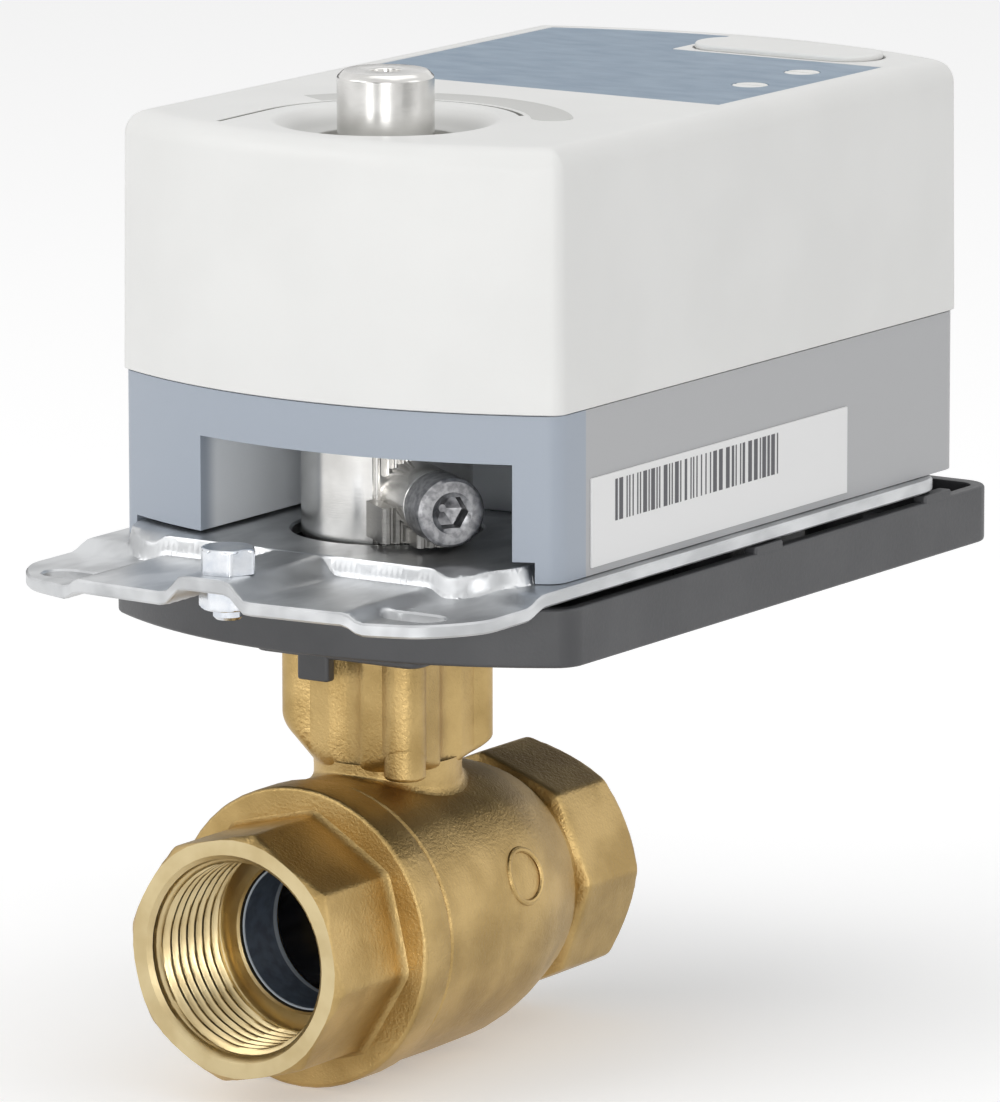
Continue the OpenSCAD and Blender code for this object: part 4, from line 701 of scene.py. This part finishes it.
for y in (34, 78):
    for x0, x1 in ((34.1, 36.1), (-36.1, -34.1)):
        tray.solid(rounded_wall(box_plan(x0, x1, y, y + 7, 0.4), TRAY_RIM - 1, TRAY_RIM + 0.9, 0, 0.3))
piece("tray", tray, tray_black, "mounting_tray")


# Bracket: galvanised sheet, cut and pressed. Two ears with slots stand out in front of the case, the
# bridge between them holds a hex bolt, and a pressed floor stiffens it under the clamp.
zinc_sheet = Finish("zinc_sheet", (0.56, 0.57, 0.58), 0.34, 1.0)
spangle = zinc_sheet.grain(5, stretch=(1, 2, 1))
rolled = zinc_sheet.grain(0.6, 3, stretch=(1, 8, 1))
zinc_sheet.mottle(spangle, 0.35, 0.65, (0.50, 0.51, 0.52), (0.66, 0.67, 0.68),
                  Roughness=0.26 + rolled * 0.12 + spangle * 0.10)
zinc_sheet.bump(rolled * 0.4 + spangle, 0.02)

SHEET, PLATE_TOP = 1.8, -0.1
FLOOR_X, FLOOR_Y, FLOOR_MID, FLOOR_CORNER = 31, 18, -3.5, 9
COARSE_FROM, HOLE_SPAN, EAR_DROP, PRESSED = 18, 28, 1.2, 2.4
EAR_X, EAR_Y, BRIDGE_X, BRIDGE_Y = (20.6, 23.2), (17.2, 21.6), (3.3, 6.5), (20.0, 21.4)


def plate_height(x, y):
    """Top of the bracket's sheet: pressed floor, raised bridge and lowered ears."""
    ear = step_up(abs(x), *EAR_X) * step_up(-y, *EAR_Y)
    bridge = (1 - step_up(abs(x), *BRIDGE_X)) * step_up(-y, *BRIDGE_Y)
    past_x, past_y = abs(x) - (FLOOR_X - FLOOR_CORNER), abs(y - FLOOR_MID) - (FLOOR_Y - FLOOR_CORNER)
    edge = FLOOR_CORNER - hypot(max(0, past_x), max(0, past_y))
    floor_up = step_up(edge, 0.0, 0.8)
    return PLATE_TOP - EAR_DROP * ear + PRESSED * bridge + PRESSED * floor_up * (1 - bridge)


def stadium(x0, x1, y, r, steps):
    """Outline with straight sides and round ends about x0 and x1."""
    return arc(x1, y, r, -90, 90, steps) + arc(x0, y, r, 90, 270, steps)


def smooth_plan(corners):
    """Closed outline with each (x, y, radius) corner rounded, anticlockwise."""
    out = []
    for i, (x, y, r) in enumerate(corners):
        p = Vector((x, y))
        a = Vector(corners[i - 1][:2]) - p
        b = Vector(corners[(i + 1) % len(corners)][:2]) - p
        reach = min(r, a.length * 0.45, b.length * 0.45)
        start, end = p + a.normalized() * reach, p + b.normalized() * reach
        for t in (0, 0.25, 0.5, 0.75, 1):
            q = start * (1 - t) ** 2 + p * 2 * t * (1 - t) + end * t * t
            out.append((q.x, q.y))
    return out


def dense(points, gap):
    """The outline with points added wherever two are further apart than gap."""
    out = []
    for i, (x, y) in enumerate(points):
        nx, ny = points[(i + 1) % len(points)]
        steps = max(1, ceil(hypot(nx - x, ny - y) / gap))
        out += [(x + (nx - x) * k / steps, y + (ny - y) * k / steps) for k in range(steps)]
    return out


def pressed_sheet(shape, outline, holes, height, thick, ease, gap, extra):
    """A sheet of even thickness whose top follows height(x, y), with eased cut edges. The part that
    the case hides, from COARSE_FROM on, gets fewer points."""
    loops = [outline, *[h[::-1] for h in holes]]
    tops = [inset(loop, ease) for loop in loops]
    flat = [Vector(p) for loop in tops for p in loop]
    boundary = len(flat)
    xs, ys = zip(*outline)
    for j in range(1, int((max(ys) - min(ys)) / gap)):
        y = min(ys) + j * gap
        coarse = 4 if y >= COARSE_FROM else 1
        if j % coarse:
            continue
        step = gap * coarse
        for i in range(1, int((max(xs) - min(xs)) / step)):
            flat.append(Vector((min(xs) + i * step + (j % 2) * step / 2, y)))
    flat += [Vector(p) for p in extra]
    points, _, faces, origin = geometry.delaunay_2d_cdt(flat, loop_edges(tops), [], 0, 1e-5)[:4]
    top = shape.ring([(p.x, p.y, height(p.x, p.y)) for p in points])
    low = shape.ring([(p.x, p.y, height(p.x, p.y) - thick) for p in points])
    for tri in faces:
        cx = sum(points[i].x for i in tri) / 3
        cy = sum(points[i].y for i in tri) / 3
        near = [loop for loop in tops[1:] if hypot(cx - loop[0][0], cy - loop[0][1]) < HOLE_SPAN]
        if within(cx, cy, tops[0]) and not any(within(cx, cy, loop) for loop in near):
            shape.faces.append(tuple(top[i] for i in tri))
            shape.faces.append(tuple(low[i] for i in reversed(tri)))
    where = {old: new for new, olds in enumerate(origin) for old in olds if old < boundary}
    start = 0
    for loop in loops:
        ids = [where[start + i] for i in range(len(loop))]
        start += len(loop)
        rings = [[top[i] for i in ids]]
        for drop in (ease * 0.3, ease, thick - ease, thick - ease * 0.3):
            edge = inset(loop, max(0, ease - min(drop, thick - drop)))
            rings.append(shape.ring([(x, y, height(x, y) - drop) for x, y in edge]))
        rings.append([low[i] for i in ids])
        for one, two in zip(rings, rings[1:]):
            shape.join(one, two)


half_plan = [(21.5, -41.6, 4), (30.2, -38.7, 3.2), (33.8, -34.6, 3.2), (36, -30.6, 3), (36, 81, 3),
             (31, 86, 3)]
bracket_outline = smooth_plan([(0.1, -43, 6)] + half_plan + [(-x, y, r) for x, y, r in half_plan[::-1]])
bracket = Shape(CASE)
SLOT_X, SLOT_Y, SLOT_R, BOLT_Y = 26.5, -33.8, 5.2 / 2, -36.9
SLOT_REACH = 9 / 2 - SLOT_R
holes = [stadium(x - SLOT_REACH, x + SLOT_REACH, SLOT_Y, SLOT_R, 8) for x in (SLOT_X, -SLOT_X)]
holes += [circle(2.1, 20, 0, BOLT_Y), circle(12.6, 64)] + [circle(1.8, 16, x, y) for x, y in SCREW_SPOTS]
floor_rim = box_plan(-FLOOR_X, FLOOR_X, FLOOR_MID - FLOOR_Y, FLOOR_MID + FLOOR_Y, FLOOR_CORNER, 10)
contours = [p for by in (0.0, 0.14, 0.27, 0.4, 0.53, 0.66, 0.8) for p in dense(inset(floor_rim, by), 0.8)]
pressed_sheet(bracket, dense(bracket_outline, 1.2), holes, plate_height, SHEET, 0.28, 0.9, contours)
piece("bracket", bracket, zinc_sheet, "bracket_plate", crease=40)


# Bracket bolt and its clinch nut: zinc plated, bright, with a bevelled hexagon head over the bridge
# and a hexagon nut pressed up under it.
zinc_bright = Finish("zinc_screws", (0.66, 0.69, 0.74), 0.2, 1.0)
haze = zinc_bright.grain(2.2, 3)
zinc_bright.mottle(haze, 0.3, 0.7, (0.60, 0.64, 0.70), (0.78, 0.80, 0.83), Roughness=0.13 + haze * 0.14)
zinc_bright.bump(zinc_bright.grain(0.5), 0.008)
HEXAGON_AF = 6.8


def hexagon(shape, turn, z0, z1, bevelled, hole=0.0):
    """The hexagon of the bolt's head or nut, its corners bevelled at the end at bevelled, or bored."""
    corner = HEXAGON_AF / 2 / cos(radians(30))
    steps = (0, 0.12, 0.3, 0.5, 0.8)
    rows = []
    for z in sorted({z0 + s for s in steps} | {(z0 + z1) / 2} | {z1 - s for s in steps}):
        row = []
        for k in range(96):
            a = 3.75 * k
            off = (a - turn) % 60 - 30
            r = soft_min(HEXAGON_AF / 2 / cos(radians(off)), corner - 0.06, 0.15)
            r = soft_min(r, HEXAGON_AF / 2 - 0.12 + abs(z - bevelled) * 1.9, 0.12)
            row.append((*polar(r, a, 0, BOLT_Y), z))
        rows.append(row)
    if not hole:
        shape.solid(rows)
        return
    ids = shape.loft(rows)
    bore = shape.loft(spun(((hole + 0.25, z0), (hole, z0 + 0.25), (hole, z1 - 0.25), (hole + 0.25, z1)),
                           96, 0, BOLT_Y))
    shape.join(ids[0], bore[0])
    shape.join(bore[-1], ids[-1])


bolt = Shape(CASE)
HEAD_LOW, HEAD_HIGH, NUT_LOW, NUT_HIGH = 2.32, 5.62, -2.42, 0.48
hexagon(bolt, 8, HEAD_LOW, HEAD_HIGH, HEAD_HIGH)
bolt.solid(spun(((0.2, -3.8), (1.6, -3.8), (1.98, -3.4), (1.98, 2.4)), 32, 0, BOLT_Y))
piece("bolt", bolt, zinc_bright, "bracket_bolt")
nut = Shape(CASE)
hexagon(nut, 24, NUT_LOW, NUT_HIGH, NUT_LOW, hole=2.05)
piece("nut", nut, zinc_bright, "bracket_nut")
keep("tray_screws mounting_screws cover_screws plate_screws motor_screws board_screws", zinc_bright)


# Output hub: a turned and polished steel sleeve. Its collar shows in the case's window, with straight
# serrations where the clamp bites, and its end stands out of the top as the position pointer.
hub_steel = Finish("hub_steel", (0.68, 0.67, 0.65), 0.2, 1.0)
lines = hub_steel.grain(0.25, stretch=(6, 6, 0.5))
hub_steel.mottle(hub_steel.grain(5), 0.3, 0.7, (0.62, 0.61, 0.59), (0.75, 0.74, 0.72),
                 Roughness=0.15 + lines * 0.14)
hub_steel.bump(lines, 0.006)

CASE_H, COLLAR_R, HUB_R, STUB_R = 56.5, 11.3, 8.0, 6.4
SCREW_TURN, SCREW_Z = -37.0, 8.6
SERRATED_FROM, SERRATED_TO, SERRATION = 3, 29, 5.2
hub = Shape(CASE)
collar_rows = []
for r, z in ((6.1, 1.5), (COLLAR_R - 0.3, 1.5), (COLLAR_R, 1.8), (COLLAR_R, 8.0), (COLLAR_R, 14.6),
             (COLLAR_R - 0.3, 14.9), (HUB_R + 0.1, 14.9)):
    row = []
    for k in range(360):
        depth = 0.0
        away = 360 + SCREW_TURN - k
        if SERRATED_FROM < away < SERRATED_TO and 1.6 < z < 14.8 and r > 11:
            depth = 0.3 - 0.3 * cos(2 * pi * (away - SERRATED_FROM) / SERRATION)
        row.append((*polar(r - depth, k), z))
    collar_rows.append(row)
hub.loft(collar_rows)
top = CASE_H + 6.5
stub = [(HUB_R, 14.9), (HUB_R, 45), (STUB_R + 0.1, 45), (STUB_R, 45.2), (STUB_R, top - 0.95),
        (STUB_R - 0.12, top - 0.7), (STUB_R - 0.75, top - 0.08), (STUB_R - 0.95, top), (2.2, top),
        (2.0, top - 0.15), (1.9, top - 0.9), (0.3, top - 1.1)]
hub.fill(hub.loft(spun(stub, 96))[-1])


def by_screw(reach, aside):
    """The point this far from the stem along the clamp screw's axis, and this far aside of it."""
    turn = radians(SCREW_TURN)
    return reach * cos(turn) - aside * sin(turn), reach * sin(turn) + aside * cos(turn)


def out_along(points, reach):
    """Puts a ring, drawn round the clamp screw's axis, at this distance from the stem."""
    return [(*by_screw(reach, s), SCREW_Z + h) for s, h in points]


BARREL_R, HEAD_R, HEAD_FROM, HEAD_TO = 4.5, 4.6, 19.52, 25.5
barrel = [(BARREL_R, 8.5), (BARREL_R, 18.9), (BARREL_R - 0.12, 19.2), (BARREL_R - 0.45, 19.45), (2.6, 19.48)]
hub.loft([out_along(circle(r, 48), x) for r, x in barrel])
piece("hub", hub, hub_steel, "output_hub", "output")


# Clamp screw: a blued steel socket head screw, cold formed. It goes through the hub's barrel and pulls
# the saddle against the shaft.
screw_steel = Finish("screw_steel", (0.36, 0.36, 0.37), 0.3, 1.0)
wear = screw_steel.grain(0.9, 3)
screw_steel.mottle(wear, 0.35, 0.65, (0.24, 0.24, 0.25), (0.42, 0.42, 0.43), Roughness=0.22 + wear * 0.2)
screw = Shape(CASE)
head = [(2.5, 9.3), (2.5, HEAD_FROM), (HEAD_R - 0.25, HEAD_FROM), (HEAD_R, HEAD_FROM + 0.25),
        (HEAD_R, HEAD_TO - 0.75), (HEAD_R - 0.1, HEAD_TO - 0.4), (HEAD_R - 0.45, HEAD_TO - 0.08),
        (HEAD_R - 0.8, HEAD_TO), (2.75, HEAD_TO), (2.62, HEAD_TO - 0.1)]
socket = [polar(2.02 / cos(radians(3.75 * k % 60 - 30)), 3.75 * k) for k in range(96)]
screw.solid([out_along(circle(r, 96), x) for r, x in head]
            + [out_along(socket, HEAD_TO - 0.35), out_along(socket, HEAD_TO - 3.0),
               out_along(circle(0.5, 96), HEAD_TO - 3.9)])
piece("clamp_screw_head", screw, screw_steel, "clamp_screw", "output", crease=25)


# Clamp saddle: the pressed and serrated steel yoke that the screw pulls against the shaft. Its ribs
# stand upright below the screw.
saddle_steel = Finish("saddle_steel", (0.5, 0.49, 0.47), 0.3, 1.0)
rub = saddle_steel.grain(0.4, stretch=(3, 3, 0.6))
saddle_steel.give(Base_Color=saddle_steel.mix(rub, (0.25, 0.245, 0.235), (0.42, 0.41, 0.39)),
                  Roughness=0.24 + rub * 0.18)
saddle = Shape(CASE)


def saddle_plan(lead, trail, half, tooth):
    """Outline of a rib block across the screw's axis, with a row of teeth on its outer face."""
    raw = [(lead, -half), (trail, -half)]
    count = max(1, int(2 * half / 1.25))
    for k in range(count):
        s = -half + 2 * half * (k + 0.5) / count
        raw += [(trail, s - half / count * 0.8), (trail + tooth, s - half / count * 0.35),
                (trail + tooth, s + half / count * 0.35), (trail, s + half / count * 0.8)]
    raw += [(trail, half), (lead, half)]
    return [by_screw(reach, aside) for reach, aside in raw]


saddle.solid([at_height(saddle_plan(9.5, 15.6, 6.2, 0.45), z) for z in (3.2, 3.3, 7.8, 7.9)])
saddle.solid([at_height(saddle_plan(15.0, 19.0, 2.6, 0.4), z) for z in (3.0, 3.1, 4.9, 5.0)])
piece("clamp_saddle", saddle, saddle_steel, None, "output", crease=25)


# Gear train: pressed steel plates, pillars and sector, moulded acetal wheels, and a small motor with
# its winding. All sit closed in the case and keep their CAD shapes.
plate_steel = plain_finish("plate_steel", (0.55, 0.56, 0.57), 0.24, 0.16, metallic=1.0, stretch=(6, 1, 1))
gear_cream = plain_finish("gear_cream", (0.80, 0.76, 0.64), 0.38, 0.16, 0.6)
gear_blue = plain_finish("gear_blue", (0.58, 0.66, 0.74), 0.38, 0.16, 0.6)
copper = Finish("coil_copper", (0.45, 0.17, 0.06), 0.35, 0.6)
copper.bump(copper.node("TexWave", {"Vector": copper.place(), "Scale": 900.0}, bands_direction="Z"), 0.05)
magnet = plain_finish("magnet_dark", (0.08, 0.08, 0.085), 0.42, 0.2)
keep("output_gear lower_gear_plate upper_gear_plate plate_pillars motor_can motor_lid", plate_steel, 0.08)
keep("cam_disc first_gear third_gear", gear_cream, 0)
keep("second_gear", gear_blue, 0)
keep("motor_coil", copper, 0)
keep("motor_rotor", magnet, 0.1)


# Circuit board with its parts, terminal block, limit switches and trimmers: solder mask green, dark
# mouldings and two blue trimmers under the dials.
board_green = Finish("board_green", (0.02, 0.13, 0.05), 0.3)
tracks = board_green.node("TexBrick", {"Vector": board_green.place(), "Scale": 160.0, "Mortar Size": 0.02,
                                       "Color1": (0.02, 0.13, 0.05), "Color2": (0.025, 0.15, 0.06),
                                       "Mortar": (0.04, 0.22, 0.09)})
board_green.give(Base_Color=tracks)
part_dark = plain_finish("part_dark", (0.04, 0.04, 0.05), 0.38, 0.18)
terminal_green = plain_finish("terminal_green", (0.05, 0.25, 0.10), 0.34, 0.16)
trimmer_blue = plain_finish("trimmer_blue", (0.04, 0.10, 0.32), 0.3, 0.14)
keep("circuit_board", board_green, 0)
keep("board_parts limit_switches", part_dark, 0.2)
keep("terminal_block", terminal_green, 0.15)
keep("dial_trimmers", trimmer_blue, 0.15)


# Base: the grey lower half of the case, moulded, satin, with the clamp's window in its rounded front.
# The front is bluer than the sides, and the walls inside the window get painted light: a paler colour.
case_grey = Finish("case_grey", (0.40, 0.44, 0.49), 0.4)
WINDOW_BOW, WINDOW_LIP, WINDOW_HALF, WINDOW_END = 136, 19.8, 31.5, 30
fleck = case_grey.grain(0.35)
across, depth_y = case_grey.axis("X"), case_grey.axis("Y") - CASE.y
side_part = depth_y.above(-5.1, -4.9)
into_front = depth_y + across * across * (-1 / WINDOW_BOW) + WINDOW_LIP
# Painted light: the walls inside the window are coloured near white.
alcove_painted_light = into_front.above(0.8, 4) * across.math("ABSOLUTE").above(WINDOW_HALF + 0.1, WINDOW_HALF - 0.1)
alcove_painted_light = alcove_painted_light * depth_y.above(WINDOW_END + 1, WINDOW_END - 1)
outside = case_grey.mix(side_part, (0.38, 0.425, 0.49), (0.47, 0.475, 0.485))
case_grey.give(Base_Color=case_grey.mix(alcove_painted_light, outside, (0.86, 0.89, 0.92)), Roughness=0.34 + fleck * 0.12)
case_grey.bump(fleck, 0.012)
keep("base_housing release_post", case_grey, 0.3, 40)


# Cover: the warm white upper half, moulded with a fine texture. It has a soft edge all round, a dish
# round the hub, an indicator arc, and a sunk panel for the label.
case_white = Finish("case_white", (0.80, 0.80, 0.78), 0.42)
fine = case_white.grain(0.3)
up = case_white.axis("Z") - CASE.z - CASE_H
ahead = case_white.axis("Y") - CASE.y
from_stem = case_white.axis("X").hypot(ahead)
# Painted shade: the sunk groove and scale, and the dish round the hub, are coloured darker.
recess_shade = up.above(-0.08, -0.14) * up.above(-0.6, -0.5) * from_stem.above(16.4, 16.6)
recess_shade = recess_shade * ahead.above(-14.2, -13.9) * from_stem.above(25.2, 25.0)
dish_shade = up.above(-0.4, -2.2) * from_stem.above(15.0, 14.0)
plain = case_white.mix(case_white.grain(20).above(0.3, 0.7), (0.80, 0.80, 0.785), (0.83, 0.83, 0.815))
case_white.give(Base_Color=case_white.mix(dish_shade * 0.45 + recess_shade, plain, (0.30, 0.30, 0.28)),
                Roughness=0.38 + fine * 0.12)
case_white.bump(fine, 0.010)

CASE_HALF, CASE_FRONT, CASE_BULGE, CASE_BACK, CASE_TAIL = 34.2, 11.2, 8.6, 88.8, 7.4
COVER_EDGE, CORNER = 3.2, 2.1
CEILING = CASE_H - 3.9
cover = Shape(CASE)


def case_plan(by):
    return bulged(CASE_HALF - by, CASE_FRONT - by * 0.7, CASE_BULGE - by * 0.3, CASE_BACK - by * 0.7,
                  CASE_TAIL - by * 0.3, max(0.9, CORNER - by))


walls = [at_height(case_plan(by), z) for by, z in
         ((2.2, CEILING), (2.2, 22.05), (0.0, 22.0), (-0.28, 22.15), (-0.25, 26), (-0.12, 40))]
walls += [at_height(case_plan(COVER_EDGE * 0.98 * c), CASE_H - COVER_EDGE * s) for c, s in quarter(8)]
shell = cover.loft(walls)
BUTTON_LEFT, BUTTON_RIGHT, BUTTON_FRONT, BUTTON_MID, BUTTON_R = -3.0, 25.5, 77.6, 82.5, 4.9
BUTTON_ENDS = BUTTON_LEFT + BUTTON_R, BUTTON_RIGHT - BUTTON_R, BUTTON_MID
LABEL_HALF, LABEL_FRONT, LABEL_EDGE, PANEL_DEPTH = 29.6, 34.5, 4.2, 0.6
REAR_R = (CASE_HALF ** 2 + CASE_TAIL ** 2) / 2 / CASE_TAIL
REAR_Y = CASE_BACK + CASE_TAIL - REAR_R


def label_plan(by):
    corner, notch = BUTTON_LEFT - 0.9 - by, BUTTON_FRONT - 0.9 - by
    right, left, front = LABEL_HALF - by, by - LABEL_HALF, LABEL_FRONT + by
    points = [(left, front), (right, front), (right, notch), (corner, notch)]
    for i in range(7):
        x = corner + (left - corner) * i / 6
        points.append((x, REAR_Y + sqrt((REAR_R - LABEL_EDGE - by) ** 2 - x * x)))
    return points


def sunk(outline, depth, ease):
    """A recess in the cover's top, with a rounded lip. Returns the lip's ring."""
    steps = (ease, 0), (ease * 0.3, ease * 0.3), (0, ease), (0, depth)
    ids = cover.loft([at_height(inset(outline, -out), CASE_H - down) for out, down in steps])
    cover.fill(ids[-1])
    return ids[0]


def stroke(path, width):
    """Anticlockwise outline of a line of this width along the path."""
    right, left = [], []
    for i, (x, y) in enumerate(path):
        ax, ay = path[max(i - 1, 0)]
        bx, by = path[min(i + 1, len(path) - 1)]
        along_it = Vector((bx - ax, by - ay)).normalized() * width / 2
        right.append((x + along_it.y, y - along_it.x))
        left.append((x - along_it.y, y + along_it.x))
    return right + left[::-1]


DISH = [(15.3, 0.0), (14.6, -0.12), (14.0, -0.5), (12.6, -1.6), (11.9, -2.05), (11.2, -2.3), (9.9, -2.4),
        (9.7, -2.6), (9.7, -6), (11.7, -6), (11.7, CEILING - CASE_H)]
dish = cover.loft(spun([(r, CASE_H + z) for r, z in DISH], 96))
cover.fill(shell[0], [dish[-1]])
groove_path = [(-17.5, -13.2), (-17.7, -9), (-17.9, -4)] + arc(0, 0, 18, 180, 42, 60)
groove = sunk(stroke(groove_path, 0.7), 0.4, 0.08)
SCALE_IN, SCALE_OUT, SCALE_END = 19.0, 24.5, 35
round_end = arc(*polar((SCALE_IN + SCALE_OUT) / 2, SCALE_END), (SCALE_OUT - SCALE_IN) / 2,
                SCALE_END + 180, SCALE_END + 360, 16)[1:-1]
scale_line = arc(0, 0, SCALE_OUT, SCALE_END, 150, 40) + arc(0, 0, SCALE_IN, 150, SCALE_END, 40) + round_end
scale = sunk(scale_line, 0.3, 0.06)
panel = sunk(label_plan(0), PANEL_DEPTH, 0.25)
pocket = sunk(stadium(*BUTTON_ENDS, BUTTON_R + 0.3, 16), 1.2, 0.2)
cover.fill(shell[-1], [dish[0], groove, scale, panel, pocket])
piece("cover_shell", cover, case_white, "cover", crease=50)


# Release bar: the white bar at the back of the top, pressed down to free the gears; and the two white
# dials in the label, each with a screwdriver slot.
bar = Shape(CASE)
bar.solid(rounded_wall(stadium(*BUTTON_ENDS, BUTTON_R, 20), CASE_H - 0.1, CASE_H + 0.7, 0.1, 0.35))
bar.solid(rounded_wall(box_plan(10, 16, 77.9, 87.1, 0.6), CASE_H - 6.8, CASE_H, 0.2, 0))
piece("release_bar", bar, case_white, "release_button", "release")
dial_white = plain_finish("dial_white", (0.86, 0.86, 0.84), 0.24, 0.14)
keep("front_switch_dial back_switch_dial", dial_white, 0.15)
spring_steel = plain_finish("spring_steel", (0.5, 0.5, 0.52), 0.2, 0.12, 0.4, metallic=1.0)
keep("release_spring", spring_steel, 0)


# Top label: a slate blue printed film, glued into the cover's sunk panel, with a hole for each dial.
# The scale round the hub is a grey film in its own shallow recess.
label_blue = Finish("label_blue", (0.29, 0.38, 0.48), 0.35)
cloud = label_blue.grain(3.2, 4, stretch=(2.2, 1, 1))
dots = label_blue.grain(0.7)
label_blue.mottle(cloud * 0.75 + dots * 0.25, 0.32, 0.68, (0.135, 0.215, 0.315), (0.21, 0.30, 0.395),
                  Roughness=0.30 + dots * 0.14)
label_blue.bump(dots, 0.008)
DIALS, DIAL_HOLE = ((23.2, 53.0), (22.8, 67.0)), 2.5
film = Shape(CASE)
levels = (CASE_H - PANEL_DEPTH, CASE_H - 0.1)
rim = film.loft([at_height(label_plan(0.1), z) for z in levels])
wells = [film.loft([at_height(circle(DIAL_HOLE, 32, x, y), z) for z in levels]) for x, y in DIALS]
for end in (0, -1):
    film.fill(rim[end], [well[end] for well in wells])
piece("label_film", film, label_blue, "top_label")

scale_grey = plain_finish("scale_grey", (0.58, 0.58, 0.56), 0.34, 0.14)
keep("scale_ring", scale_grey, 0)


# Side label: a white film on the base, printed with plain bars of mixed widths.
label_white = plain_finish("label_white", (0.86, 0.86, 0.86), 0.26, 0.1, 0.8)
keep("side_label", label_white, 0.08)
ink = plain_finish("ink", (0.10, 0.10, 0.11), 0.44, 0.14, 0.4)
BAR_X, BAR_LOW, BAR_HIGH, BARS_FROM, BARS_TO = CASE_HALF + 0.315, 6.4, 11.9, 1.6, 42.0
bars = Shape(CASE)
draw = random.Random(7)
y = BARS_FROM
while y < BARS_TO:
    end = y + draw.choice((0.32, 0.32, 0.62, 0.95))
    bars.faces.append(tuple(bars.ring([(BAR_X, y, BAR_LOW), (BAR_X, end, BAR_LOW), (BAR_X, end, BAR_HIGH),
                                       (BAR_X, y, BAR_HIGH)])))
    y = end + draw.choice((0.34, 0.5, 0.8))
piece("label_bars", bars, ink)


# Cable gland: the black rubber inlet at the back of the base. It is moulded, pushed into the base's
# hole and held by its groove.
keep("cable_grommet", black_rubber, 0.3)
